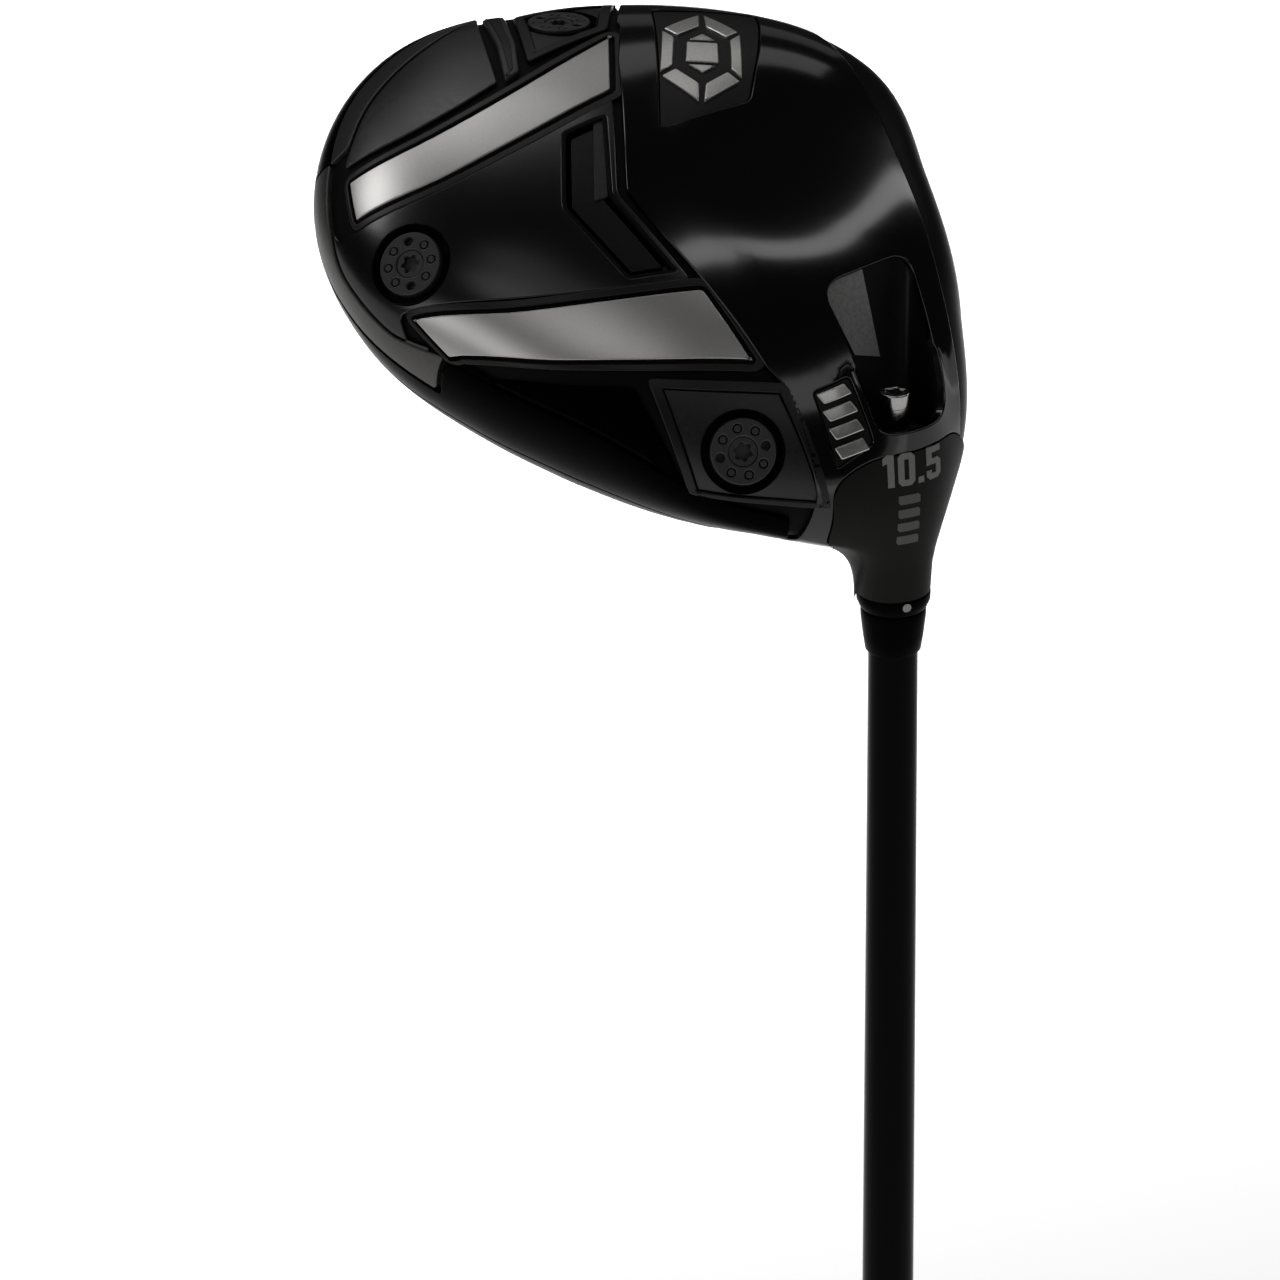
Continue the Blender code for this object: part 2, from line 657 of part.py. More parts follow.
def build_shaft(parts, materials):
    tip = world_height(BORE_BOTTOM + GAP + SLEEVE_SOLID + GAP)
    neck = world_height(SHAFT_STEP_LEVEL)
    heights = [SHAFT_BUTT_END, SHAFT_TAPER_START, GRIP_END, *SHAFT_STATIONS, SHAFT_TAPER_END]
    outer = [(shaft_radius(height), height) for height in heights]
    outer += [(SHAFT_NECK_RADIUS, neck - 0.5), (SHAFT_TIP_RADIUS, neck + 0.5)]
    outer += [(SHAFT_TIP_RADIUS, tip)]
    inner = [(radius - SHAFT_WALL, height) for radius, height in outer]
    turned("shaft", outer[::-1] + inner, None, parts, materials["graphite"])
    plug = rod_profile(SHAFT_TIP_RADIUS - SHAFT_WALL - GAP, tip - TIP_PLUG_LENGTH, tip)
    turned("tip_plug", plug, None, parts, materials["rubber"])

    tape_low = SHAFT_BUTT_END + 1.0
    tape_high = GRIP_END - TAPE_END_GAP
    levels = [tape_high, SHAFT_TAPER_START, tape_low]
    tape_out = [(shaft_radius(h) + GAP + TAPE_THICKNESS, h) for h in levels]
    tape_in = [(shaft_radius(h) + GAP, h) for h in reversed(levels)]
    turned("grip_tape", tape_out + tape_in, None, parts, materials["tape"])

    bore = GAP + TAPE_THICKNESS + GAP
    section = (GRIP_END - GRIP_START) / GRIP_SECTIONS
    stations = [GRIP_END - section * index for index in range(GRIP_SECTIONS + 1)]
    grip_out = [(grip_radius(h), h) for h in stations]
    grip_in = [(shaft_radius(h) + bore, h) for h in (GRIP_START, SHAFT_TAPER_START, GRIP_END)]
    turned("grip", grip_out + grip_in, None, parts, materials["rubber"])

    cap_top = GRIP_START - GAP
    spigot = SHAFT_BUTT_RADIUS - SHAFT_WALL - GAP
    spigot_end = SHAFT_BUTT_END + CAP_SPIGOT_LENGTH
    cap = [
        (0.0, spigot_end),
        (spigot - 0.5, spigot_end),
        (spigot, spigot_end - 1.0),
        (spigot, cap_top),
        (CAP_RADIUS, cap_top),
        *CAP_EDGE,
        (0.0, 0.0),
    ]
    turned("grip_cap", cap, None, parts, materials["black"])


# ---------------------------------------------------------------- build


def build_materials():
    return {
        "titanium": new_material("head_titanium_black", (0.012, 0.012, 0.013), 0.22, 0.9),
        "face": new_material("face_titanium", (0.05, 0.05, 0.055), 0.35, 0.9),
        "carbon": new_material("gloss_carbon", (0.01, 0.01, 0.011), 0.12, 0.0),
        "polished": new_material("polished_steel", (0.62, 0.62, 0.62), 0.22, 1.0),
        "tungsten": new_material("black_tungsten", (0.02, 0.02, 0.021), 0.38, 0.8),
        "aluminium": new_material("black_aluminium", (0.02, 0.02, 0.02), 0.3, 0.9),
        "black": new_material("black_polymer", (0.012, 0.012, 0.012), 0.3, 0.0),
        "rubber": new_material("black_rubber", (0.02, 0.02, 0.02), 0.7, 0.0),
        "graphite": new_material("gloss_graphite", (0.008, 0.008, 0.008), 0.08, 0.0),
        "tape": new_material("grip_tape", (0.7, 0.66, 0.55), 0.8, 0.0),
    }


def head_frame_matrix():
    """The address frame in the world: the shaft axis along Z, the face towards +X."""
    along = Vector((math.cos(LIE), 0.0, -math.sin(LIE)))
    target = Vector((0.0, 1.0, 0.0))
    toe = along.cross(target)
    rows = (target, toe, along)
    heights = (0.0, 0.0, CLUB_LENGTH * MM)
    return Matrix([(*row, height) for row, height in zip(rows, heights)] + [(0.0, 0.0, 0.0, 1.0)])


def main():
    clear_scene()
    parts = new_collection("golf_driver")
    cutters = new_collection("cutters")
    materials = build_materials()
    frame = add_frame("head_frame", head_frame_matrix(), parts)
    build_head(frame, parts, cutters, materials)
    build_bolt(parts, cutters, materials)
    build_adapter(parts, materials)
    build_shaft(parts, materials)


main()
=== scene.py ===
"""A golf driver held head up: sole, weights and hosel towards the camera, grip down on the floor."""

import math

import bpy
import numpy as np
from mathutils import Matrix, Vector
from mathutils.geometry import delaunay_2d_cdt


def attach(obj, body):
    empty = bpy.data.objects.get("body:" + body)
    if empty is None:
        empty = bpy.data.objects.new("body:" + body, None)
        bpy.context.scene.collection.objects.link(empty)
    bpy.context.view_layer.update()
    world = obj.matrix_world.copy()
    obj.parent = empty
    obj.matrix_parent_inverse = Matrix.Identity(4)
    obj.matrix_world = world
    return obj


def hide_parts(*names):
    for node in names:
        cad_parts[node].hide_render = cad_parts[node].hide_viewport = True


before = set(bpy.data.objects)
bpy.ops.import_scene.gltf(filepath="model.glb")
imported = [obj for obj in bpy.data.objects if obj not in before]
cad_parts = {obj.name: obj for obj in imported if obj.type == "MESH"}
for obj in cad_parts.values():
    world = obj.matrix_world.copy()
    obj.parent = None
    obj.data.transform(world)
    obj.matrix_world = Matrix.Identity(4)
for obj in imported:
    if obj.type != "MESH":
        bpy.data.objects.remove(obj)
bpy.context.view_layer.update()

MM = 0.001
QUARTER = math.pi / 2.0

# ---------------------------------------------------------------- the head's form, in millimetres

CLUB_LENGTH = 1155.7
LIE = math.radians(59.0)
LOFT = math.radians(10.5)
CENTRE = (38.0, -28.0)
OUTLINE_RADII = (62.5, 62.5, 59.0, 51.0, 56.0, 68.5, 58.0, 46.5, 46.0, 54.0, 61.0, 65.0)
EQUATOR_HEIGHTS = (29.0, 27.0, 23.0, 22.0, 26.5, 31.5, 25.5, 21.0, 22.5, 23.5, 26.5, 27.5)
SHOULDER_DROOP = 0.65
SHOULDER_ANGLE = math.radians(172.0)
SHOULDER_SPREAD = math.radians(45.0)
CROWN_TOP = 58.0
SOLE_BOTTOM = 0.5
ROUND_EXPONENT = 2.1
FACE_EXPONENT_GAIN = 5.5
FACE_PIVOT_HEIGHT = 30.0
SKIN_INSET = 0.22
FACE_SEAM = 16.0
CROWN_SEAM = 111.6

HOSEL_RADIUS = 6.5
HOSEL_TOP = 49.8
BLEND_WIDTH = 7.0
NECK_CORE_LEVEL = 24.0
BORE_RADIUS = 5.5
BORE_BOTTOM = 24.6
BASE_DEPTH = -1.0

SHAFT_WAY = Vector((-math.cos(LIE), 0.0, math.sin(LIE)))
ROW_AXES = Matrix(
    ((0.0, 1.0, 0.0), (math.sin(LIE), 0.0, math.cos(LIE)), (math.cos(LIE), 0.0, -math.sin(LIE)))
)


def to_row(point):
    """A point of the head's address frame in the row frame, both in millimetres."""
    return ROW_AXES @ point + Vector((0.0, 0.0, CLUB_LENGTH))


def world_height(level):
    """The height of a level, which is counted from the ground end of the shaft's axis."""
    return CLUB_LENGTH - level


def to_head(point):
    return ROW_AXES.transposed() @ (point - Vector((0.0, 0.0, CLUB_LENGTH)))


def around(values, angle):
    """A smooth closed curve through equally spaced values, read at an angle."""
    count = len(values)
    place = angle / (2.0 * math.pi) * count
    index = math.floor(place)
    f = place - index
    a, b, c, d = (values[(index + step) % count] for step in (-1, 0, 1, 2))
    cubic = (3.0 * (b - c) + d - a) * f**3 + (2.0 * a - 5.0 * b + 4.0 * c - d) * f**2
    return 0.5 * (cubic + (c - a) * f + 2.0 * b)


def smooth_step(low, high, value):
    t = min(max((value - low) / (high - low), 0.0), 1.0)
    return t * t * (3.0 - 2.0 * t)


def skin_exponent(angle):
    return ROUND_EXPONENT + FACE_EXPONENT_GAIN * max(0.0, math.sin(angle)) ** 3


def lean_share(angle, reach):
    return smooth_step(0.35, 0.7, math.sin(angle)) * reach**4


def crown_share(angle, reach):
    """How much of its height the crown keeps: its shoulder droops beside the hosel."""
    away = abs(math.remainder(angle - SHOULDER_ANGLE, 2.0 * math.pi))
    if away > SHOULDER_SPREAD:
        return 1.0
    droop = SHOULDER_DROOP * math.cos(away / SHOULDER_SPREAD * math.pi / 2.0) ** 2
    return 1.0 - droop * reach**4


def skin_point(tilt, angle):
    """A point of the head's outer skin. Tilt runs from 0 at the sole's pole to pi at the crown's."""
    reach = math.sin(tilt)
    equator = around(EQUATOR_HEIGHTS, angle)
    fall = math.sqrt(max(0.0, 1.0 - max(reach, 0.0) ** skin_exponent(angle)))
    pole = SOLE_BOTTOM
    if tilt > QUARTER:
        pole = CROWN_TOP
        fall *= crown_share(angle, reach)
    z = equator + (pole - equator) * fall
    radius = reach * around(OUTLINE_RADII, angle)
    x = CENTRE[0] + radius * math.cos(angle)
    y = CENTRE[1] + radius * math.sin(angle)
    return Vector((x, y - lean_share(angle, reach) * (z - FACE_PIVOT_HEIGHT) * math.tan(LOFT), z))


def skin_normal(tilt, angle):
    step = 0.002
    if tilt < step or tilt > math.pi - step:
        return Vector((0.0, 0.0, -1.0 if tilt < step else 1.0))
    along = skin_point(tilt + step, angle) - skin_point(tilt - step, angle)
    across = skin_point(tilt, angle + step) - skin_point(tilt, angle - step)
    return across.cross(along).normalized()


def skin_place(point):
    """The tilt and angle of a point near the skin."""
    y = point.y
    for _ in range(4):
        angle = math.atan2(y - CENTRE[1], point.x - CENTRE[0])
        radius = math.hypot(y - CENTRE[1], point.x - CENTRE[0])
        reach = radius / around(OUTLINE_RADII, angle)
        lean = lean_share(angle, min(reach, 1.2))
        y = point.y + lean * (point.z - FACE_PIVOT_HEIGHT) * math.tan(LOFT)
    return reach, angle


def head_form(point):
    """Below 0 inside the head, 0 on its skin."""
    reach, angle = skin_place(point)
    equator = around(EQUATOR_HEIGHTS, angle)
    height = SOLE_BOTTOM - equator
    if point.z > equator:
        height = (CROWN_TOP - equator) * crown_share(angle, min(reach, 1.0))
    return reach ** skin_exponent(angle) + ((point.z - equator) / height) ** 2 - 1.0


def slope_of(form, point, step=0.05):
    here = form(point)
    changes = [form(point + Vector(way) * step) - here for way in ((1, 0, 0), (0, 1, 0), (0, 0, 1))]
    return here, Vector(changes) / step


def head_distance(point):
    value, slope = slope_of(head_form, point)
    return value / max(slope.length, 1e-6)


def hosel_distance(point):
    along = point.dot(SHAFT_WAY)
    return (point - SHAFT_WAY * along).length - HOSEL_RADIUS


def body_distance(point):
    """Distance to the head with the hosel flowing out of it."""
    head = head_distance(point)
    hosel = hosel_distance(point)
    share = max(BLEND_WIDTH - abs(head - hosel), 0.0) / BLEND_WIDTH
    return min(head, hosel) - share * share * BLEND_WIDTH / 4.0


def on_body(point, out):
    """The same place on the blended form, with its normal."""
    if point.dot(SHAFT_WAY) < 8.0 or hosel_distance(point) > BLEND_WIDTH + 0.5:
        return point, out
    for _ in range(4):
        value, slope = slope_of(body_distance, point)
        point = point - slope * (value / max(slope.length_squared, 1e-6))
    return point, slope.normalized()


# ---------------------------------------------------------------- flat maps of the head
# The sole's map keeps angles about the sole's pole and spreads tilt evenly; the crown's does so
# about the crown's pole. Outlines are drawn on a map and lifted onto the skin.


def map_point(tilt, angle):
    radius = tilt / QUARTER * around(OUTLINE_RADII, angle)
    return (CENTRE[0] + radius * math.cos(angle), CENTRE[1] + radius * math.sin(angle))


def tilt_and_angle(u, v):
    angle = math.atan2(v - CENTRE[1], u - CENTRE[0])
    radius = math.hypot(u - CENTRE[0], v - CENTRE[1])
    return radius / around(OUTLINE_RADII, angle) * QUARTER, angle


def on_sole(u, v, height):
    """A height above the sole's map, in the row frame, with the normal."""
    tilt, angle = tilt_and_angle(u, v)
    point, out = on_body(skin_point(tilt, angle), skin_normal(tilt, angle))
    return to_row(point + out * (height - SKIN_INSET)), ROW_AXES @ out


def on_crown(u, v, height):
    tilt, angle = tilt_and_angle(u, v)
    tilt = math.pi - tilt
    point, out = skin_point(tilt, angle), skin_normal(tilt, angle)
    return to_row(point + out * (height - SKIN_INSET)), ROW_AXES @ out


def sole_map(x, y, over=False):
    """The sole map's point for a plan point on the sole, or on the crown side with over."""
    wanted_y = y
    for _ in range(8):
        angle = math.atan2(y - CENTRE[1], x - CENTRE[0])
        radius = math.hypot(x - CENTRE[0], y - CENTRE[1])
        reach = min(radius / around(OUTLINE_RADII, angle), 1.0)
        tilt = math.asin(reach)
        if over:
            tilt = math.pi - tilt
        z = skin_point(tilt, angle).z
        lean = lean_share(angle, reach)
        y = wanted_y + lean * (z - FACE_PIVOT_HEIGHT) * math.tan(LOFT)
    return map_point(tilt, angle)


def plan(points):
    """Plan points of the sole as points of its map."""
    return [sole_map(x, y) for x, y in points]


def plan_over(points):
    """Plan points of the crown side as points of the sole's map."""
    return [sole_map(x, y, True) for x, y in points]


def tilt_arc(tilt, first, last, step=3.0):
    """Map points at one tilt, from one angle to another, all in degrees."""
    count = max(round(abs(last - first) / step), 1)
    angles = [math.radians(first + (last - first) * index / count) for index in range(count + 1)]
    return [map_point(math.radians(tilt), angle) for angle in angles]


# ---------------------------------------------------------------- outline tools


def halved(low, high, holds, steps):
    """The place between two values up to which a condition holds."""
    for _ in range(steps):
        middle = (low + high) / 2.0
        if holds(middle):
            low = middle
        else:
            high = middle
    return low, high


def area(loop):
    total = 0.0
    for (ax, ay), (bx, by) in zip(loop, loop[1:] + loop[:1]):
        total += ax * by - bx * ay
    return total / 2.0


def wound(loop, positive):
    return list(loop) if (area(loop) > 0.0) == positive else list(loop)[::-1]


def rounded(loop, radius, steps=4):
    """The outline with each corner cut by a smooth curve that starts a radius from it."""
    loop = [
        point
        for index, point in enumerate(loop)
        if math.dist(point, loop[index - 1]) > 1e-4
    ]
    points = []
    count = len(loop)
    for index in range(count):
        corner = Vector(loop[index])
        before = Vector(loop[index - 1]) - corner
        after = Vector(loop[(index + 1) % count]) - corner
        turn = abs(math.pi - before.angle(after))
        if turn < math.radians(14.0):
            points.append(tuple(corner))
            continue
        start = corner + before.normalized() * min(radius, before.length * 0.45)
        end = corner + after.normalized() * min(radius, after.length * 0.45)
        for step in range(steps + 1):
            t = step / steps
            bend = start * (1 - t) ** 2 + corner * (2 * t * (1 - t)) + end * t * t
            points.append(tuple(bend))
    return points


def flowing(points, steps=5):
    """A smooth open curve through the points."""
    ends = [points[0], *points, points[-1]]
    found = []
    for a, b, c, d in zip(ends, ends[1:], ends[2:], ends[3:]):
        for step in range(steps):
            f = step / steps
            weights = (
                -0.5 * f + f * f - 0.5 * f**3,
                1.0 - 2.5 * f * f + 1.5 * f**3,
                0.5 * f + 2.0 * f * f - 1.5 * f**3,
                -0.5 * f * f + 0.5 * f**3,
            )
            found.append(
                tuple(sum(w * point[axis] for w, point in zip(weights, (a, b, c, d))) for axis in (0, 1))
            )
    return found + [points[-1]]


def divided(loop, step):
    points = []
    for (ax, ay), (bx, by) in zip(loop, loop[1:] + loop[:1]):
        count = max(1, math.ceil(math.hypot(bx - ax, by - ay) / step))
        for index in range(count):
            share = index / count
            points.append((ax + (bx - ax) * share, ay + (by - ay) * share))
    return points


def spread(loop, distance):
    """The outline moved outwards by a distance, with mitred corners."""
    turned = wound(loop, True)
    points = []
    count = len(turned)
    for index in range(count):
        before = (Vector(turned[index]) - Vector(turned[index - 1])).normalized()
        after = (Vector(turned[(index + 1) % count]) - Vector(turned[index])).normalized()
        side = Vector((before.y + after.y, -before.x - after.x))
        if side.length < 1e-6:
            side = Vector((before.y, -before.x))
        side.normalize()
        mitre = max(side.x * before.y - side.y * before.x, 0.5)
        points.append(tuple(Vector(turned[index]) + side * (distance / mitre)))
    return points


def circle(radius, count=32, centre=(0.0, 0.0)):
    turns = [2.0 * math.pi * index / count for index in range(count)]
    return [(centre[0] + radius * math.cos(t), centre[1] + radius * math.sin(t)) for t in turns]


def inside(points, loop):
    """Which of the points, an array of rows, lie inside a closed outline."""
    found = np.zeros(len(points), bool)
    for (ax, ay), (bx, by) in zip(loop, loop[1:] + loop[:1]):
        if ay == by:
            continue
        crossing = (points[:, 1] > ay) != (points[:, 1] > by)
        at = ax + (points[:, 1] - ay) / (by - ay) * (bx - ax)
        found ^= crossing & (points[:, 0] < at)
    return found


# ---------------------------------------------------------------- meshes


def add_mesh(name, points, faces, material, normals=None, sharp=None):
    """An object from points in millimetres of the row frame."""
    mesh = bpy.data.meshes.new(name)
    mesh.from_pydata([tuple(point * MM) for point in points], [], faces)
    mesh.polygons.foreach_set("use_smooth", [True] * len(mesh.polygons))
    if sharp is not None:
        mesh.set_sharp_from_angle(angle=math.radians(sharp))
    mesh.materials.append(material)
    obj = bpy.data.objects.new(name, mesh)
    bpy.context.scene.collection.objects.link(obj)
    if normals is not None:
        mesh.normals_split_custom_set_from_vertices([tuple(normal) for normal in normals])
    mesh.validate()
    return obj


def inner_grid(loops, spacing):
    """Points of a staggered grid inside the first outline, clear of every outline."""
    outer = np.array(loops[0])
    low, high = outer.min(0), outer.max(0)
    rows = []
    row = 0
    v = low[1]
    while v < high[1]:
        u = np.arange(low[0] + (row % 2) * spacing / 2.0, high[0], spacing)
        rows.append(np.stack([u, np.full_like(u, v)], axis=1))
        v += spacing * 0.866
        row += 1
    grid = np.concatenate(rows)
    keep = inside(grid, loops[0])
    for loop in loops[1:]:
        keep &= ~inside(grid, loop)
    grid = grid[keep]
    edge = np.concatenate([np.array(loop) for loop in loops])
    clear = np.ones(len(grid), bool)
    for start in range(0, len(grid), 500):
        part = grid[start : start + 500]
        gaps = ((part[:, None, :] - edge[None, :, :]) ** 2).sum(-1).min(1)
        clear[start : start + 500] = gaps > (spacing * 0.5) ** 2
    return grid[clear]


def plate(name, outline, material, holes=(), top=0.0, low=-1.3, bevel=0.2, slope=0.0,
          spacing=2.2, step=1.0, lift=on_sole, body="head"):
    """A plate that follows a surface: smooth top, rounded edge, and a wall down to a depth.
    Slope spreads the foot of the wall, so that the wall of a hole leans inwards."""
    loops = [wound(divided(outline, step), True)]
    loops += [wound(divided(hole, step), False) for hole in holes]
    grid = inner_grid(loops, spacing)
    flat = [point for loop in loops for point in loop] + [tuple(point) for point in grid]
    edges = []
    start = 0
    for loop in loops:
        count = len(loop)
        edges += [(start + index, start + (index + 1) % count) for index in range(count)]
        start += count
    made = delaunay_2d_cdt([Vector(point) for point in flat], edges, [], 0, 1e-6, True)
    verts, faces, sources = made[0], made[2], made[3]
    source_vert = {}
    for index, found in enumerate(sources):
        for source in found:
            source_vert[source] = index
    centres = np.array([sum((verts[i] for i in face), Vector((0, 0))) / 3.0 for face in faces])
    keep = inside(centres, loops[0])
    for loop in loops[1:]:
        keep &= ~inside(centres, loop)
    faces = [list(face) for face, kept in zip(faces, keep) if kept]

    points, normals = [None] * len(verts), [None] * len(verts)
    rim = set()
    rows = 3
    turns = [QUARTER * row / rows for row in range(1, rows + 1)]
    walls = []
    start = 0
    mirrored = None
    for loop in loops:
        count = len(loop)
        lifted = [lift(u, v, 0.0) for u, v in loop]
        columns = []
        for index in range(count):
            place, out = lifted[index]
            along = lifted[(index + 1) % count][0] - lifted[index - 1][0]
            side = along.cross(out).normalized()
            if mirrored is None:
                u, v = loop[index]
                du = loop[(index + 1) % count][0] - loop[index - 1][0]
                dv = loop[(index + 1) % count][1] - loop[index - 1][1]
                size = math.hypot(du, dv)
                probe = lift(u + dv / size * 0.1, v - du / size * 0.1, 0.0)[0] - place
                mirrored = -1.0 if probe.dot(side) < 0.0 else 1.0
            side *= mirrored
            vert = source_vert[start + index]
            rim.add(vert)
            points[vert] = place - side * bevel + out * top
            normals[vert] = out
            column = [vert]
            for turn in turns:
                inset = bevel * (1.0 - math.sin(turn))
                drop = bevel * (1.0 - math.cos(turn))
                points.append(place - side * inset + out * (top - drop))
                normals.append(out * math.cos(turn) + side * math.sin(turn))
                column.append(len(points) - 1)
            lean = (side * (top - bevel - low) + out * slope).normalized()
            if slope:
                points.append(points[-1].copy())
                normals.append(lean)
                column.append(len(points) - 1)
            points.append(place + side * slope + out * low)
            normals.append(lean)
            column.append(len(points) - 1)
            columns.append(column)
        for index in range(count):
            here, after = columns[index], columns[(index + 1) % count]
            for a, b, c, d in zip(here, after, after[1:], here[1:]):
                if mirrored > 0.0:
                    walls.append([a, d, c, b])
                else:
                    walls.append([a, b, c, d])
        start += count
    for index, vert in enumerate(verts):
        if index not in rim:
            points[index], normals[index] = lift(vert.x, vert.y, top)
    facing = 0.0
    for a, b, c in faces:
        facing += (points[b] - points[a]).cross(points[c] - points[a]).dot(normals[a])
    if facing < 0.0:
        faces = [face[::-1] for face in faces]
    obj = add_mesh(name, points, faces + walls, material, normals)
    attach(obj, body)
    return obj


def lathe(name, profile, material, origin, axis, body, steps=64, sharp=30.0, closed=False):
    """A turned shape from (radius, distance along the axis) pairs, in millimetres."""
    turn = axis.to_track_quat("Z", "Y").to_matrix()
    points, faces = [], []
    for radius, along in profile:
        for index in range(steps):
            angle = 2.0 * math.pi * index / steps
            local = Vector((radius * math.cos(angle), radius * math.sin(angle), along))
            points.append(origin + turn @ local)
    rows = len(profile)
    for row in range(rows if closed else rows - 1):
        low, high = row * steps, (row + 1) % rows * steps
        for index in range(steps):
            after = (index + 1) % steps
            faces.append([low + index, low + after, high + after, high + index])
    obj = add_mesh(name, points, faces, material, sharp=sharp)
    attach(obj, body)
    return obj


# ---------------------------------------------------------------- materials


def new_material(name, colour, roughness, metallic=0.0, coat=0.0, coat_roughness=0.03, specular=0.5):
    material = bpy.data.materials.new(name)
    material.use_nodes = True
    shader = material.node_tree.nodes["Principled BSDF"]
    shader.inputs["Base Color"].default_value = (*colour, 1.0)
    shader.inputs["Roughness"].default_value = roughness
    shader.inputs["Metallic"].default_value = metallic
    shader.inputs["Coat Weight"].default_value = coat
    shader.inputs["Coat Roughness"].default_value = coat_roughness
    shader.inputs["Specular IOR Level"].default_value = specular
    return material


def node(material, kind, **settings):
    made = material.node_tree.nodes.new(kind)
    for key, value in settings.items():
        if key in made.inputs:
            made.inputs[key].default_value = value
        else:
            setattr(made, key, value)
    return made


def join(material, source, out, target, into):
    material.node_tree.links.new(source.outputs[out], target.inputs[into])


def stretched_coordinates(material, scale, turn=(0.0, 0.0, 0.0)):
    """Object coordinates in metres, turned and scaled, for a texture to read."""
    where = node(material, "ShaderNodeTexCoord")
    mapping = node(material, "ShaderNodeMapping")
    mapping.inputs["Rotation"].default_value = turn
    mapping.inputs["Scale"].default_value = scale
    join(material, where, "Object", mapping, "Vector")
    return mapping


def add_grain(material, scale, turn, roughness_range, bump, colours=None):
    """Fine uneven texture: it changes the roughness, raises the surface, and may tint the colour."""
    shader = material.node_tree.nodes["Principled BSDF"]
    mapping = stretched_coordinates(material, scale, turn)
    noise = node(material, "ShaderNodeTexNoise", Scale=1.0, Detail=4.0, Roughness=0.6)
    join(material, mapping, "Vector", noise, "Vector")
    rough = node(material, "ShaderNodeMapRange")
    rough.inputs["From Min"].default_value = 0.3
    rough.inputs["From Max"].default_value = 0.7
    rough.inputs["To Min"].default_value = roughness_range[0]
    rough.inputs["To Max"].default_value = roughness_range[1]
    join(material, noise, "Fac", rough, "Value")
    join(material, rough, "Result", shader, "Roughness")
    if bump:
        raised = node(material, "ShaderNodeBump", Strength=bump, Distance=0.00005)
        join(material, noise, "Fac", raised, "Height")
        join(material, raised, "Normal", shader, "Normal")
    if colours:
        ramp = node(material, "ShaderNodeValToRGB")
        ramp.color_ramp.elements[0].position = 0.3
        ramp.color_ramp.elements[1].position = 0.7
        ramp.color_ramp.elements[0].color = (*colours[0], 1.0)
        ramp.color_ramp.elements[1].color = (*colours[1], 1.0)
        join(material, noise, "Fac", ramp, "Fac")
        join(material, ramp, "Color", shader, "Base Color")
    return material


def add_weave(material, pitch, dark, light, bump):
    """A twill weave: strands over two and under two, in two directions."""
    shader = material.node_tree.nodes["Principled BSDF"]
    where = stretched_coordinates(material, (1.0 / pitch,) * 3, (0.0, 0.0, math.radians(45.0)))
    waves = []
    for direction in ("X", "Y"):
        wave = node(material, "ShaderNodeTexWave", Scale=0.5, Distortion=0.0, Detail=0.0)
        wave.bands_direction = direction
        join(material, where, "Vector", wave, "Vector")
        waves.append(wave)
    steps = node(material, "ShaderNodeTexWave", Scale=0.25, Distortion=0.0, Detail=0.0)
    steps.bands_direction = "DIAGONAL"
    join(material, where, "Vector", steps, "Vector")
    choice = node(material, "ShaderNodeMath", operation="GREATER_THAN")
    choice.inputs[1].default_value = 0.5
    join(material, steps, "Fac", choice, 0)
    mix = node(material, "ShaderNodeMix")
    join(material, choice, "Value", mix, 0)
    join(material, waves[0], "Fac", mix, 2)
    join(material, waves[1], "Fac", mix, 3)
    ramp = node(material, "ShaderNodeValToRGB")
    ramp.color_ramp.elements[0].color = (*dark, 1.0)
    ramp.color_ramp.elements[1].color = (*light, 1.0)
    join(material, mix, 0, ramp, "Fac")
    join(material, ramp, "Color", shader, "Base Color")
    raised = node(material, "ShaderNodeBump", Strength=bump, Distance=0.00005)
    join(material, mix, 0, raised, "Height")
    join(material, raised, "Normal", shader, "Normal")
    return material


# grain is drawn out along one axis by these shares on brushed metal
BRUSHED_STRETCH = 110.0 / 4200.0
FACE_STRETCH = 300.0 / 5000.0


def grey(value):
    return (value, value, value)


def grained(name, colour, roughness, scale, bump, tint=None, specular=0.5, metallic=0.0, turn=0.0,
            stretch=(1.0, 1.0, 1.0)):
    """A material with fine grain between two roughnesses."""
    material = new_material(name, colour, roughness[0], metallic, specular=specular)
    size = tuple(scale * share for share in stretch)
    return add_grain(material, size, (0.0, 0.0, math.radians(turn)), roughness, bump, tint)


gloss_black = grained("gloss_black", (0.0006, 0.00056, 0.0005), (0.105, 0.12), 1500.0,
                      0.002, specular=0.8)
side_black = grained("side_black", grey(0.0006), (0.24, 0.28), 1500.0, 0.004, specular=0.012)
satin_black = grained("satin_black", (0.001, 0.00095, 0.0009), (0.22, 0.26), 2400.0, 0.012,
                      specular=0.75)
groove_black = grained("groove_black", grey(0.003), (0.55, 0.65), 1800.0, 0.05, specular=0.1)
frame_black = grained("frame_black", (0.006, 0.0057, 0.0054), (0.33, 0.4), 2600.0, 0.03,
                      specular=0.4)
panel_black = grained("panel_black", (0.005, 0.005, 0.0051), (0.34, 0.46), 1700.0, 0.12,
                      (grey(0.003), grey(0.006)), specular=0.7)
facet_black = grained("facet_black", (0.03, 0.029, 0.028), (0.4, 0.5), 1500.0, 0.1,
                      ((0.024, 0.023, 0.022), (0.036, 0.035, 0.034)), specular=0.4)
rim_satin = grained("rim_satin", (0.03, 0.029, 0.028), (0.3, 0.37), 2600.0, 0.04,
                    specular=0.6)
# painted highlight: the toe panel's carbon as a brighter, strongly reflective copy of the carbon below
carbon_lit_copy = grained("carbon_lit_copy", (0.004, 0.004, 0.0042), (0.3, 0.4), 900.0, 0.03,
                     specular=1.0)
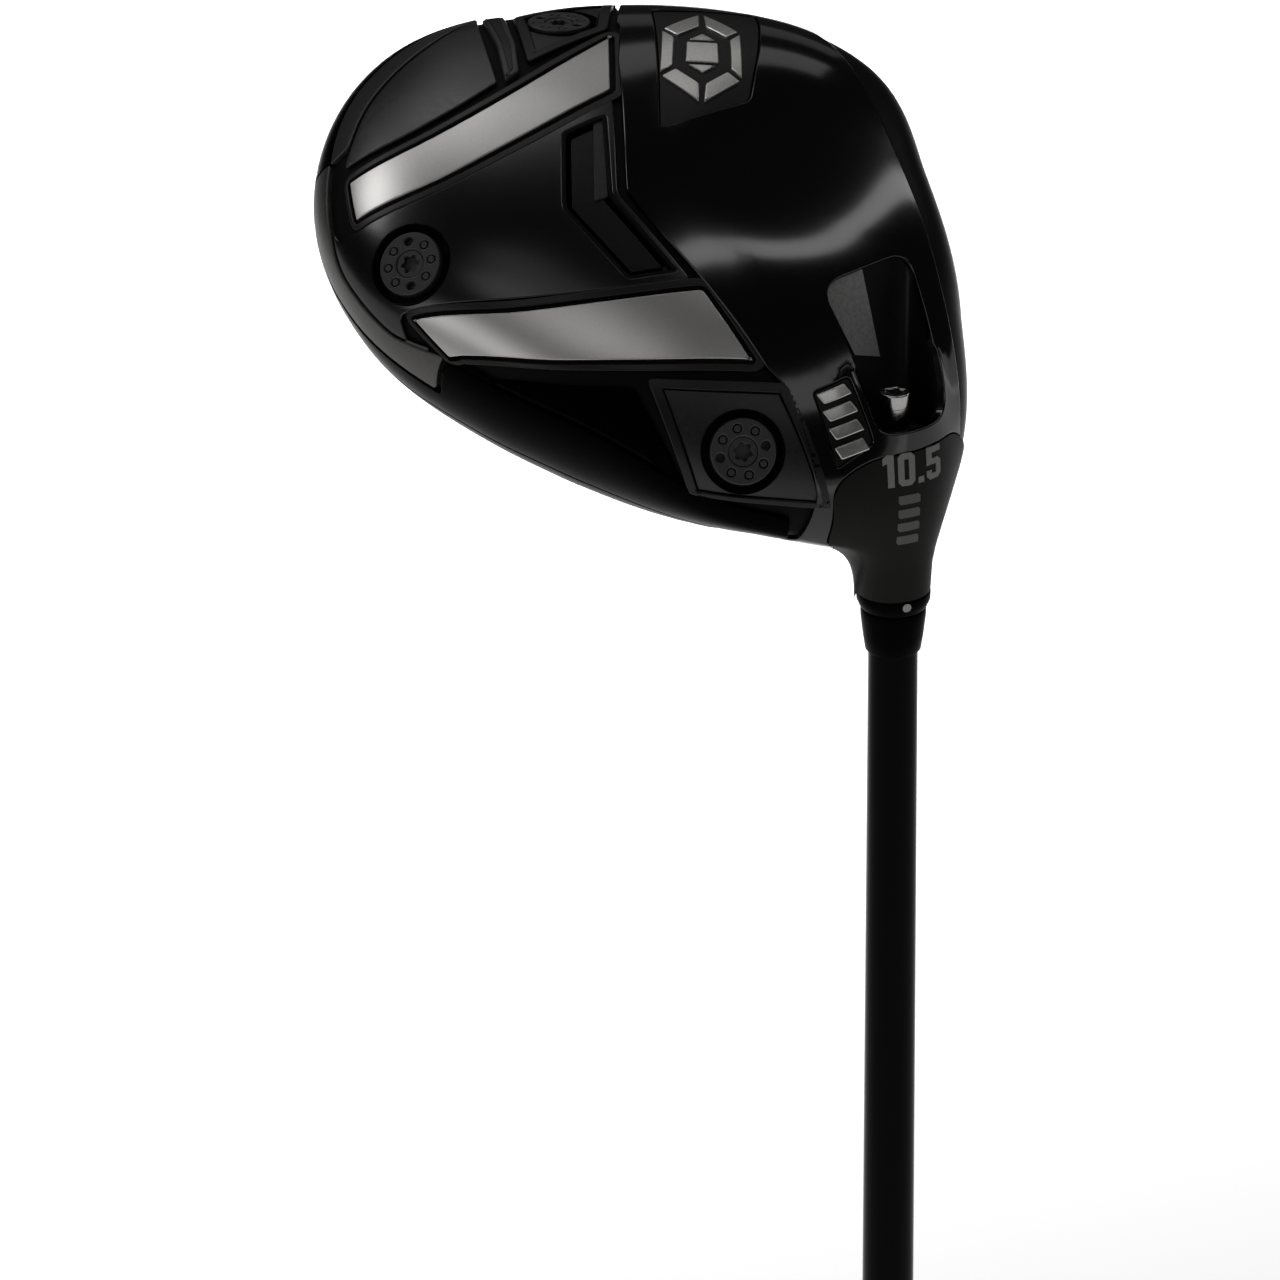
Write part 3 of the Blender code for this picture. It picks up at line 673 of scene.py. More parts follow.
border_black = grained("border_black", (0.022, 0.0215, 0.021), (0.33, 0.39), 1800.0, 0.02,
                       specular=0.9)
# the shaded copy of the carbon: darker and barely reflective, so the heel panel stays black, painted shade;
# the crown uses it too
carbon = new_material("carbon", (0.0005, 0.0005, 0.00055), 0.28, specular=0.008)
add_weave(carbon, 0.0011, (0.0002, 0.0002, 0.00022), (0.0008, 0.0008, 0.00085), 0.06)
neck_black = grained("neck_black", (0.0135, 0.0125, 0.0115), (0.45, 0.55), 3000.0, 0.08,
                     ((0.012, 0.011, 0.0103), (0.015, 0.014, 0.0128)), specular=0.12)
brushed_steel = grained("brushed_steel", (0.62, 0.611, 0.595), (0.34, 0.38), 4200.0, 0.02,
                        ((0.6, 0.591, 0.576), (0.66, 0.65, 0.633)), metallic=1.0,
                        turn=4.0, stretch=(1.0, BRUSHED_STRETCH, 1.0))
rim_steel = grained("rim_steel", (0.16, 0.157, 0.152), (0.46, 0.54), 900.0, 0.03,
                    ((0.1, 0.098, 0.095), (0.13, 0.127, 0.123)), metallic=1.0)
emblem_steel = grained("emblem_steel", (0.85, 0.84, 0.81), (0.29, 0.35), 1600.0, 0.015,
                       ((0.74, 0.73, 0.7), (0.86, 0.85, 0.82)), metallic=1.0)
pad_black = grained("pad_black", grey(0.003), (0.35, 0.45), 2000.0, 0.05, specular=0.3)
bolt_steel = grained("bolt_steel", (0.62, 0.61, 0.6), (0.12, 0.22), 2200.0, 0.04,
                     ((0.56, 0.55, 0.54), (0.68, 0.67, 0.66)), metallic=1.0)
weight_black = grained("weight_black", (0.034, 0.034, 0.036), (0.42, 0.52), 2200.0, 0.1,
                       ((0.024, 0.024, 0.026), (0.033, 0.033, 0.036)), specular=0.7)
ring_polymer = grained("ring_polymer", grey(0.001), (0.33, 0.4), 1800.0, 0.03, specular=0.02)
dot_white = grained("dot_white", (0.42, 0.42, 0.41), (0.45, 0.55), 2500.0, 0.05,
                    ((0.4, 0.4, 0.39), (0.44, 0.44, 0.43)))
white_ink = grained("white_ink", (0.34, 0.336, 0.325), (0.45, 0.55), 2500.0, 0.05,
                    ((0.23, 0.227, 0.219), (0.26, 0.257, 0.248)), specular=0.2)
grey_ink = grained("grey_ink", (0.17, 0.167, 0.16), (0.45, 0.55), 2500.0, 0.05,
                   ((0.12, 0.118, 0.113), (0.14, 0.137, 0.131)), specular=0.2)
# painted light: a lighter grey standing in for light falling on part of the pocket's sloping wall
pocket_painted_light_grey = grained("pocket_painted_light_grey", (0.38, 0.383, 0.375), (0.55, 0.65), 1600.0, 0.25,
                    ((0.2, 0.203, 0.197), (0.3, 0.303, 0.296)), specular=0.2)
face_metal = grained("face_metal", (0.01, 0.01, 0.0105), (0.3, 0.4), 5000.0, 0.08,
                     specular=0.04, stretch=(1.0, FACE_STRETCH, 1.0))
shaft_gloss = grained("shaft_gloss", grey(0.001), (0.1, 0.14), 900.0, 0.01,
                      (grey(0.0008), grey(0.0012)), specular=0.06, stretch=(1.0, 1.0, 0.05))
grip_rubber = grained("grip_rubber", grey(0.012), (0.68, 0.82), 2600.0, 0.3,
                      (grey(0.01), grey(0.015)), specular=0.2)
cap_polymer = grained("cap_polymer", grey(0.012), (0.45, 0.56), 1800.0, 0.12, specular=0.3)
tape_paper = grained("tape_paper", (0.6, 0.56, 0.46), (0.7, 0.85), 900.0, 0.3,
                     ((0.54, 0.5, 0.4), (0.64, 0.6, 0.5)), specular=0.2)
anodised = grained("anodised", (0.03, 0.03, 0.031), (0.3, 0.38), 2600.0, 0.06, metallic=1.0)
seal_rubber = grained("seal_rubber", grey(0.01), (0.72, 0.88), 2200.0, 0.2, (grey(0.008), grey(0.013)),
                      specular=0.2)

# ---------------------------------------------------------------- sole layout, in plan millimetres

V_FRONT = [(83.0, -21.6), (80.4, -22.0), (69.1, -26.7), (59.4, -29.6), (47.4, -33.3), (37.0, -36.3),
           (26.8, -33.2), (16.9, -29.2), (8.0, -25.8), (-0.8, -22.6), (-4.8, -20.0)]
POCKET = [(11.6, -9.2), (16.7, 9.3), (-11.2, 7.4), (-14.3, -5.7)]
NECK_SOLE = [(-19.6, -14.6), (-17.3, -8.3), (-12.3, 10.7)]
NECK_OVER = [(-13.5, 9.5), (-12.5, 0.0), (-17.5, -12.0)]
TOE_STRIP = (
    flowing([(78.2, -24.4), (66.7, -45.3), (60.6, -63.3), (59.6, -78.4)])
    + flowing([(50.3, -79.8), (49.8, -65.5), (54.0, -48.7), (61.2, -30.5)])
)
HEEL_STRIP = (
    flowing([(0.3, -24.2), (4.4, -40.9), (10.8, -56.9), (20.2, -71.3)])
    + flowing([(28.5, -75.9), (21.5, -61.6), (17.3, -45.7), (15.1, -29.2)])
)
CHEVRON_FACET = [(54.2, -36.6), (54.6, -34.6), (37.0, -39.6), (36.6, -42.2)]
TOE_PANEL_INNER = flowing([(63.6, -78.0), (63.4, -68.0), (65.6, -58.0), (69.2, -49.2)])
TOE_RIB = [(68.6, -48.0), (70.6, -44.6), (79.0, -42.2), (92.4, -39.4), (92.8, -43.4), (80.0, -45.6)]
CHEVRON = [(55.6, -33.8), (37.0, -38.9), (19.0, -32.5), (19.7, -41.4), (36.3, -48.0), (52.8, -42.9)]
HEEL_FRAME = [(2.4, -43.0), (-4.0, -19.5), (-22.1, -14.9), (-13.9, -38.6)]
TOE_FRAME = [(72.6, -42.4), (80.4, -24.2), (96.6, -15.6), (91.0, -38.2)]
EMBLEM_PAD = [(50.0, -25.8), (87.0, -13.0), (82.0, 5.7), (66.0, -1.0), (53.0, -7.8)]
BADGE_PAD = [(-6.2, -15.7), (-4.8, -8.8), (-15.0, -6.6), (-17.7, -13.9)]
WEIGHTS = {"rear": (36.8, -74.5), "heel": (-12.6, -29.5), "toe": (87.0, -31.0)}


def seat_of(x, y):
    """A weight's place on the skin and its axis, in the row frame."""
    u, v = sole_map(x, y)
    tilt, angle = tilt_and_angle(u, v)
    return to_row(skin_point(tilt, angle)), ROW_AXES @ skin_normal(tilt, angle)


def map_of_row(point):
    """The sole map's point under a point near the skin, in the row frame."""
    local = to_head(point)
    reach, angle = skin_place(local)
    tilt = math.asin(min(reach, 1.0))
    if local.z > around(EQUATOR_HEIGHTS, angle):
        tilt = math.pi - tilt
    return map_point(tilt, angle)


def round_hole(x, y, radius, count=56):
    """Where a cylinder about a weight's axis meets the skin, on the sole's map."""
    origin, axis = seat_of(x, y)
    turn = axis.to_track_quat("Z", "Y").to_matrix()
    found = []
    for u, v in circle(radius, count):
        point = origin + turn @ Vector((u, v, 0.0))
        for _ in range(4):
            local = to_head(point)
            value, slope = slope_of(head_form, local)
            point = point - axis * (value / (ROW_AXES @ slope).dot(axis))
        found.append(map_of_row(point))
    return found


def seam_tilt(angle, over):
    """The tilt at which the face's seam plane cuts the skin at an angle."""
    def behind(tilt):
        point = skin_point(tilt, angle)
        return point.y + point.z * math.tan(LOFT) < FACE_SEAM

    return sum(halved(math.pi if over else 0.0, QUARTER, behind, 30)) / 2.0


def seam_loop():
    """The closed seam round the face, on the sole's map."""
    ahead = []
    for angle in [math.radians(20.0 + 140.0 * index / 280) for index in range(281)]:
        point = skin_point(QUARTER, angle)
        if point.y + point.z * math.tan(LOFT) > FACE_SEAM:
            ahead.append(angle)
    first, last = ahead[0], ahead[-1]
    count = 70
    shares = [0.5 - 0.5 * math.cos(math.pi * index / count) for index in range(count + 1)]
    below = [first + (last - first) * share for share in shares]
    loop = [map_point(seam_tilt(angle, False), angle) for angle in below]
    loop += [map_point(seam_tilt(angle, True), angle) for angle in below[::-1]]
    return loop


pocket_loop = rounded(plan(POCKET), 3.2, 6)
neck_loop = rounded(
    plan(NECK_SOLE)
    + [map_point(math.radians(88.0), math.radians(139.0))]
    + plan_over(NECK_OVER)
    + [map_point(math.radians(90.0), math.radians(168.5))],
    3.0,
    5,
)
seam = seam_loop()
recesses = {place: round_hole(x, y, 7.3) for place, (x, y) in WEIGHTS.items()}
chevron_loop = rounded(plan(CHEVRON), 0.7, 3)


def crown_front(y):
    """Plan points of the crown's front edge, from the toe to the heel."""
    return [(86.0 - 90.0 * index / 30, y) for index in range(31)]


def crown_heel(*shares):
    """Plan points of the crown's edge beside the hosel, at shares of its length."""
    return [(-4.0 - 8.0 * share, -1.0 - 33.0 * share) for share in shares]


crown_line = plan_over(crown_front(-1.0))
body_outline = (
    crown_line
    + plan_over(crown_heel(0.33, 0.66))
    + tilt_arc(CROWN_SEAM, 188.0, 384.0)
)

# ---------------------------------------------------------------- body and plates

base_holes = [spread(pocket_loop, 0.4), spread(chevron_loop, 0.3), spread(neck_loop, -1.0)]
base_holes += [spread(recess, 0.2) for recess in recesses.values()]
base = plate("shell_base", spread(body_outline, -0.3), groove_black, base_holes, BASE_DEPTH, -2.0, 0.1,
             spacing=2.6, step=1.5)
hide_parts("sole_body")

front_outline = (
    plan(V_FRONT)
    + [sole_map(-14.0, -18.6), sole_map(-20.4, -17.6)]
    + tilt_arc(90.0, 172.5, 172.5)
    + tilt_arc(CROWN_SEAM, 173.0, 173.0)
    + plan_over(crown_heel(0.5, 0.2))
    + crown_line[::-1]
    + tilt_arc(CROWN_SEAM, 22.0, 14.0)
    + [map_point(QUARTER, math.radians(13.6)), sole_map(96.4, -14.2)]
)
emblem_loop = rounded(plan(EMBLEM_PAD), 1.0)
badge_loop = rounded(plan(BADGE_PAD), 0.8)
front_holes = [pocket_loop, neck_loop, seam, emblem_loop, badge_loop]
plate("front_sole_plate", rounded(front_outline, 0.8), gloss_black, front_holes, 0.0, -1.3, 0.3,
      spacing=1.8)
face = plate("face_plate", spread(seam, -0.25), face_metal, (), -0.45, -1.3, 0.2, spacing=1.6)
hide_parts("face_cup")


def face_place(angle, height):
    """The map's point where the skin in a direction reaches a height."""
    return map_point(halved(0.6, 2.4, lambda tilt: skin_point(tilt, angle).z < height, 24)[0], angle)


SCORE_HALF_WIDTH = 0.3
for row, height in enumerate((14.0, 20.0, 26.0, 32.0, 38.0, 44.0)):
    for side, first, last in (("toe", 60.0, 77.0), ("heel", 99.0, 112.0)):
        turns = [math.radians(first + (last - first) * index / 8) for index in range(9)]
        line = [face_place(turn, height - SCORE_HALF_WIDTH) for turn in turns]
        line += [face_place(turn, height + SCORE_HALF_WIDTH) for turn in turns[::-1]]
        plate(f"score_line_{side}_{row}", line, grey_ink, (), -0.42, -0.6, 0.04, spacing=1.5, step=1.0)


# where rims meet the sole: angle about the sole's pole and tilt, both in degrees
REAR_EDGE = [(252.5, 83.0), (257.0, 86.0), (263.0, 88.0), (276.0, 86.6), (285.0, 80.8)]
BAND_EDGE = [(249.0, 81.0)] + REAR_EDGE[1:] + [(294.0, 76.6), (300.0, 75.0)]
TOE_PANEL_EDGE = [(344.5, 66.5), (338.0, 62.0), (331.0, 59.6), (320.0, 61.0), (311.0, 63.8), (302.0, 66.2)]
BORDER_EDGE = [(345.5, 68.5), (335.0, 69.0), (325.0, 70.5), (316.0, 73.2), (308.0, 74.4), (300.0, 75.0)]


def rim_line(edge, shift=0.0):
    """A smooth line on the sole's map through angles and tilts, moved out by degrees of tilt."""
    points = [map_point(math.radians(tilt + shift), math.radians(angle)) for angle, tilt in edge]
    return flowing(points, 4)


rear_outline = (
    plan([(37.0, -37.9)] + flowing([(17.0, -30.9), (19.0, -45.5), (23.2, -61.2), (30.2, -77.4)]))
    + [sole_map(25.4, -76.4)]
    + rim_line(REAR_EDGE, -0.9)
    + plan([(49.6, -82.6)] + flowing([(48.5, -79.8), (48.0, -65.6), (52.2, -48.4), (59.2, -31.2)]))
)
rear_loop = rounded(rear_outline, 1.0)
rear_holes = [chevron_loop, recesses["rear"]]
plate("rear_sole_plate", rear_loop, satin_black, rear_holes, -0.3, -1.3, 0.3, spacing=1.8)

toe_strip_loop = rounded(plan(TOE_STRIP), 0.7)
heel_strip_loop = rounded(plan(HEEL_STRIP), 0.7)
for place, loop in (("toe", toe_strip_loop), ("heel", heel_strip_loop)):
    strip = plate(f"{place}_steel_strip", spread(loop, -0.35), brushed_steel, (), -0.1, -1.3, 0.25,
                  spacing=1.6)
    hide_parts(f"{place}_strip")
    surround = spread(loop, 1.35)
    plate(f"{place}_strip_frame", surround, frame_black, [spread(loop, 0.3)], -0.25, -1.3, 0.25)

# the chevron: a leaning wall down to a floor in two facets
floor_loop = spread(chevron_loop, -1.1)
chevron = plate("chevron_floor", floor_loop, pad_black, (), -1.1, -1.9, 0.1)
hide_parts("chevron_badge")
plate("chevron_facet", rounded(plan(CHEVRON_FACET), 0.3), facet_black, (), -0.8, -1.4, 0.1)
chevron_hem = spread(chevron_loop, 0.1)
plate("chevron_wall", chevron_hem, groove_black, [spread(chevron_loop, -0.45)], -0.35, -1.2, 0.25)

# frames round the heel and toe weights, each with a sunk panel
for place, corners in (("heel", HEEL_FRAME), ("toe", TOE_FRAME)):
    outer = rounded(plan(corners), 1.2)
    inner = spread(outer, -1.5)
    plate(f"{place}_weight_frame", outer, frame_black, [inner], 0.0, -1.3, 0.3)
    plate(f"{place}_weight_panel", spread(inner, -0.15), panel_black, [recesses[place]], -0.55, -1.3, 0.1)


# a plain emblem, a six-sided faceted gem on a pad, and a badge of four slanted bars


def drawn(origin, along, outline):
    """A flat outline placed on the sole's plan, its first axis along a direction."""
    way = Vector(along).normalized()
    side = Vector((-way.y, way.x))
    return plan([tuple(Vector(origin) + way * x + side * y) for x, y in outline])


pad = plate("emblem_pad", spread(emblem_loop, -0.15), pad_black, (), -0.4, -1.3, 0.15)
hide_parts("sole_emblem")
GEM = [(-15.5, 0.0), (-8.0, -8.0), (8.0, -7.6), (15.5, 0.0), (8.0, 7.0), (-8.0, 7.4)]
GEM_CENTRE = (68.0, -11.0)
GEM_WAY = (0.93, 0.37)
GEM_GROOVE = 0.38
SIDE_INNER = 0.6
HEART_SCALE = 0.46
HEART_PARTS = {"heart_low": (0, 1, 5), "heart_high": (2, 3, 4), "heart": (1, 2, 4, 5)}


def gem_facet(index, inner, outer):
    """One side of the gem, between two of its rings."""
    a, b = GEM[index], GEM[(index + 1) % len(GEM)]
    return [(x * k, y * k) for (x, y), k in ((a, inner), (b, inner), (b, outer), (a, outer))]


gem = {f"side_{index}": gem_facet(index, SIDE_INNER, 1.0) for index in range(len(GEM))}
for part, corners in HEART_PARTS.items():
    gem[part] = [(GEM[index][0] * HEART_SCALE, GEM[index][1] * HEART_SCALE) for index in corners]
for part, outline in gem.items():
    outline = spread(drawn(GEM_CENTRE, GEM_WAY, outline), -GEM_GROOVE)
    plate(f"emblem_{part}", rounded(outline, 0.25, 2), emblem_steel, (), 0.05, -0.8, 0.25, spacing=1.4)

plate("badge_pad", spread(badge_loop, -0.1), pad_black, (), -0.3, -1.3, 0.15)
SLANT = [(-0.95, -2.3), (0.95, -3.1), (0.95, 2.3), (-0.95, 3.1)]
for index in range(4):
    centre = (-7.1 - 2.75 * index, -12.0 + 0.48 * index)
    outline = rounded(drawn(centre, (0.985, -0.17), SLANT), 0.3, 3)
    plate(f"badge_bar_{index}", outline, emblem_steel, (), 0.1, -0.6, 0.25, spacing=0.8, step=0.5)

# carbon panels between the strips' outer sides and the rim
# the toe panel gets the lit copy of the carbon and the heel panel the shaded copy: painted highlight and
# painted shade
toe_panel_loop = rounded(plan(TOE_PANEL_INNER) + rim_line(TOE_PANEL_EDGE), 1.0)
panel = plate("toe_carbon_panel", toe_panel_loop, carbon_lit_copy, (), -0.25, -1.3, 0.3, spacing=1.8)
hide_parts("toe_sole_panel")
toe_border = rim_line(BORDER_EDGE) + rim_line(TOE_PANEL_EDGE, 0.8)[::-1]
plate("toe_panel_border", rounded(toe_border, 0.6), border_black, (), -0.1, -1.3, 0.25)
rib_loop = rounded(plan(TOE_RIB), 0.8)
plate("toe_rib", rib_loop, rim_satin, (), 0.1, -1.3, 0.5)
plate("toe_rib_crest", spread(rib_loop, -0.75), frame_black, (), 0.22, -0.4, 0.15)

heel_panel_loop = rounded(
    plan([(-14.2, -38.4)] + flowing([(1.8, -45.2), (8.0, -57.6), (19.6, -73.6)]))
    + tilt_arc(79.5, 247.5, 199.0),
    1.0,
)
panel = plate("heel_carbon_panel", heel_panel_loop, carbon, (), -0.25, -1.3, 0.3, spacing=1.8)
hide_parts("heel_sole_panel")

# rims: a bare steel band at the back, and the painted side wall behind the V
band_loop = rounded(rim_line(BAND_EDGE) + tilt_arc(98.5, 300.0, 249.0), 1.0)
plate("rear_rim_band", band_loop, rim_steel, (), 0.0, -1.3, 0.3)
side_wall = (
    tilt_arc(82.0, 174.5, 247.5)
    + tilt_arc(99.5, 248.0, 301.0)
    + rim_line(BORDER_EDGE[::-1], 0.8)
    + tilt_arc(82.0, 348.0, 371.5)
    + tilt_arc(111.3, 373.0, 174.0)
)
plate("side_wall", rounded(side_wall, 0.8), side_black, (), 0.0, -1.3, 0.3, spacing=2.4, step=1.3)

# crown


def crown_map(x, y):
    """The crown map's point for a plan point on the crown."""
    angle = math.atan2(y - CENTRE[1], x - CENTRE[0])
    radius = math.hypot(x - CENTRE[0], y - CENTRE[1])
    tilt = math.asin(min(radius / around(OUTLINE_RADII, angle), 1.0))
    return map_point(tilt, angle)


crown_edge = crown_front(-1.3) + crown_heel(0.33, 0.66)
crown_loop = [crown_map(x, y) for x, y in crown_edge] + tilt_arc(68.1, 188.0, 384.0)
crown = plate("crown_plate", crown_loop, carbon, (), 0.0, -1.3, 0.2, spacing=3.0, lift=on_crown)
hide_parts("crown_panel")

# ---------------------------------------------------------------- neck

core = SHAFT_WAY * NECK_CORE_LEVEL


def neck_ray(way, guess):
    """Where a ray from the neck's core leaves the blended form."""
    low, high = 2.0, guess
    while body_distance(core + way * high) < 0.0:
        low, high = high, high * 1.2 + 1.0
    return sum(halved(low, high, lambda reach: body_distance(core + way * reach) < 0.0, 14)) / 2.0


def build_neck():
    loop = wound(divided(spread(neck_loop, -0.2), 1.1), True)
    rows = 22
    top_turn = math.atan(HOSEL_RADIUS / (HOSEL_TOP - NECK_CORE_LEVEL))
    grid = []
    for u, v in loop:
        tilt, angle = tilt_and_angle(u, v)
        edge, out = on_body(skin_point(tilt, angle), skin_normal(tilt, angle))
        edge = edge - out * SKIN_INSET
        spoke = edge - core
        along = spoke.dot(SHAFT_WAY)
        aside = (spoke - SHAFT_WAY * along).normalized()
        start = SHAFT_WAY.angle(spoke)
        column = [edge - out * 1.2, edge - out * 0.25, edge]
        length = spoke.length
        for row in range(1, rows + 1):
            share = row / rows
            turn = start + (top_turn - start) * share
            way = SHAFT_WAY * math.cos(turn) + aside * math.sin(turn)
            length = neck_ray(way, length * 1.1)
            point = core + way * length
            slope = slope_of(body_distance, point)[1].normalized()
            column.append(point - slope * SKIN_INSET * (1.0 - share))
        last = column[-1]
        flat = (last - SHAFT_WAY * last.dot(SHAFT_WAY)).normalized()
        for radius, level in (
            (HOSEL_RADIUS, HOSEL_TOP - 0.3),
            (HOSEL_RADIUS - 0.2, HOSEL_TOP),
            (BORE_RADIUS, HOSEL_TOP),
            (BORE_RADIUS, BORE_BOTTOM),
        ):
            column.append(SHAFT_WAY * level + flat * radius)
        grid.append(column)
    points, faces = [], []
    depth = len(grid[0])
    for column in grid:
        points += [to_row(point) for point in column]
    count = len(grid)
    for index in range(count):
        after = (index + 1) % count
        for row in range(depth - 1):
            a, b = index * depth + row, after * depth + row
            faces.append([a, b, b + 1, a + 1])
    return points, faces


points, faces = build_neck()
neck = add_mesh("hosel_neck", points, faces, neck_black, sharp=40.0)
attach(neck, "head")

# ---------------------------------------------------------------- hosel pocket

POCKET_FLOOR = 21.0


def build_pocket():
    """The pocket's wall, ruled from the sole down to a small floor at the bolt."""
    loop = wound(divided(spread(pocket_loop, 0.05), 0.8), True)
    rows = 8
    points, faces = [], []
    count = len(loop)
    for u, v in loop:
        mouth = on_sole(u, v, -1.0)[0]
        x, y = mouth.x, mouth.y - 4.5
        size = max(abs(x) ** 4 + abs(y) ** 4, 1e-6) ** 0.25
        floor = Vector((6.0 * x / size, 6.0 * y / size + 0.4, CLUB_LENGTH - POCKET_FLOOR))
        for row in range(rows + 1):
            points.append(mouth.lerp(floor, row / rows))
    middle = len(points)
    points.append(Vector((0.0, 0.4, CLUB_LENGTH - POCKET_FLOOR)))
    for index in range(count):
        a, b = index * (rows + 1), (index + 1) % count * (rows + 1)
        for row in range(rows):
            faces.append([a + row, b + row, b + row + 1, a + row + 1])
        faces.append([a + rows, b + rows, middle])
    return points, faces


points, faces = build_pocket()
liner = add_mesh("hosel_pocket", points, faces, pad_black, sharp=35.0)
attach(liner, "head")


def ruled(name, mouth, foot, material, columns=16, rows=12):
    """A curved sheet from one polyline down to another, both in the row frame."""
    points, faces = [], []
    for column in range(columns + 1):
        share = column / columns
        top = bend(mouth, share)
        low = bend(foot, share)
        for row in range(rows + 1):
            points.append(top.lerp(low, row / rows))
    for column in range(columns):
        for row in range(rows):
            a = column * (rows + 1) + row
            faces.append([a, a + 1, a + rows + 2, a + rows + 1])
    obj = add_mesh(name, points, faces, material)
    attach(obj, "head")
    return obj


def bend(points, share):
    place = share * (len(points) - 1)
    index = min(int(place), len(points) - 2)
    return points[index].lerp(points[index + 1], place - index)


# a light grey sheet laid just inside the black liner where light falls on the pocket's sloping wall: painted
# light
RAMP_MOUTH = [(11.6, -9.0), (13.4, -5.6), (14.0, -2.6), (14.2, -0.3)]
ramp_mouth = [on_sole(*sole_map(x, y), -0.45)[0] for x, y in RAMP_MOUTH]
ramp_foot = [Vector((-4.6, 6.6, world_height(8.0))), Vector((1.2, 9.0, world_height(10.0)))]
ruled("pocket_wall_painted_light", ramp_mouth, ramp_foot, pocket_painted_light_grey)

# ---------------------------------------------------------------- neck markings


def on_neck(u, level, height):
    """A height above the neck's near side, from its row X and its level."""
    def neck_place(y):
        return to_head(Vector((u, y, world_height(level))))

    place = neck_place(halved(-16.0, -2.0, lambda y: body_distance(neck_place(y)) > 0.0, 16)[0])
    out = slope_of(body_distance, place)[1].normalized()
    return to_row(place + out * height), ROW_AXES @ out


ONE = [(0.8, 0.0), (2.0, 0.0), (2.0, 5.8), (0.8, 5.8), (0.8, 1.5), (0.0, 1.8), (0.0, 0.7)]
ZERO = [(0.7, 0.0), (2.5, 0.0), (3.2, 0.7), (3.2, 5.1), (2.5, 5.8), (0.7, 5.8), (0.0, 5.1), (0.0, 0.7)]
ZERO_EYE = [(1.15, 1.1), (2.05, 1.1), (2.05, 4.7), (1.15, 4.7)]
POINT = [(0.0, 4.65), (1.15, 4.65), (1.15, 5.8), (0.0, 5.8)]
FIVE = [(0.0, 0.0), (3.1, 0.0), (3.1, 1.1), (1.15, 1.1), (1.15, 2.1), (2.5, 2.1), (3.2, 2.8),
        (3.2, 5.1), (2.5, 5.8), (0.7, 5.8), (0.0, 5.1), (0.0, 4.1), (1.1, 4.1), (1.1, 4.75),
        (2.1, 4.75), (2.1, 3.15), (0.0, 3.15)]
TICK = [(-2.1, -0.85), (1.7, -0.85), (2.1, -0.4), (2.1, 0.85), (-1.7, 0.85), (-2.1, 0.4)]


def mark(name, outline, holes, place, ink):
    def put(loop):
        return [(place[0] + x, place[1] + y) for x, y in loop]

    plate(name, put(outline), ink, [put(hole) for hole in holes], -0.02, -0.4, 0.04,
          spacing=0.9, step=0.6, lift=on_neck)


mark("loft_mark_one", ONE, (), (-5.7, 21.2), white_ink)
mark("loft_mark_zero", ZERO, [ZERO_EYE], (-3.0, 21.2), white_ink)
mark("loft_mark_point", POINT, (), (0.85, 21.2), white_ink)
mark("loft_mark_five", FIVE, (), (2.6, 21.2), white_ink)
for index in range(4):
    mark(f"neck_tick_{index}", TICK, (), (-0.9, 29.6 + 2.6 * index), grey_ink)

# ---------------------------------------------------------------- weights


def on_plane(origin, axis, roll=0.0):
    turn = axis.to_track_quat("Z", "Y").to_matrix() @ Matrix.Rotation(roll, 3, "Z")

    def lift(u, v, height):
        return origin + turn @ Vector((u, v, height)), axis

    return lift


def star(lobes, outer, inner, count=48):
    points = []
    for index in range(count):
        angle = 2.0 * math.pi * index / count
        radius = (outer + inner) / 2.0 + (outer - inner) / 2.0 * math.cos(lobes * angle)
        points.append((radius * math.cos(angle), radius * math.sin(angle)))
    return points


WEIGHT_TOP = -0.7
WEIGHT_ROLLS = {"rear": 0.35, "heel": 1.75, "toe": 0.0}
SPOTS = 8
SPOT_RING_RADIUS = 4.05


def spot_centre(index):
    turn = 2.0 * math.pi * index / SPOTS
    return (SPOT_RING_RADIUS * math.cos(turn), SPOT_RING_RADIUS * math.sin(turn))


for place, (x, y) in WEIGHTS.items():
    origin, axis = seat_of(x, y)
    body = f"{place}_weight"
    lift = on_plane(origin, axis, WEIGHT_ROLLS[place])
    spots = [circle(0.78, 20, spot_centre(index)) for index in range(SPOTS)]
    disc = plate(f"{place}_weight_disc", circle(5.7, 72), weight_black,
                 spots + [circle(2.55, 40)], WEIGHT_TOP, WEIGHT_TOP - 1.9, 0.3, lift=lift,
                 spacing=0.9, step=0.6, body=body)
    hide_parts(f"{place}_weight")
    plate(f"{place}_weight_hub", circle(2.5, 40), weight_black, [star(6, 1.75, 1.25)],
          WEIGHT_TOP - 0.25, WEIGHT_TOP - 1.9, 0.15, lift=lift, spacing=0.6, step=0.4, body=body)
    for index in range(SPOTS):
        if index % 4 != 2:
            plate(f"{place}_weight_pin_{index}", circle(0.6, 20, spot_centre(index)), weight_black, (),
                  WEIGHT_TOP - 0.05, WEIGHT_TOP - 1.0, 0.12, lift=lift, spacing=0.5, body=body)
    core_profile = [(5.6, WEIGHT_TOP - 1.5), (0.0, WEIGHT_TOP - 1.5), (0.0, -2.0), (5.7, -2.0),
                    (4.0, -2.1), (4.0, -8.0), (3.4, -8.6), (0.0, -8.6)]
    lathe(f"{place}_weight_shank", core_profile, weight_black, origin, axis, body, 48)
    cup = [(7.24, -0.9), (7.2, -1.4), (6.5, -3.2), (4.3, -3.3), (4.3, -9.2)]
    lathe(f"{place}_weight_recess", cup, groove_black, origin, axis, "head", 72)

# ---------------------------------------------------------------- bolt, ring, ferrule, shaft, grip

UP = Vector((0.0, 0.0, 1.0))
BOLT_END = 13.0


def at_levels(profile):
    """A profile of (radius, level) pairs with its levels as heights."""
    return [(radius, world_height(level)) for radius, level in profile]


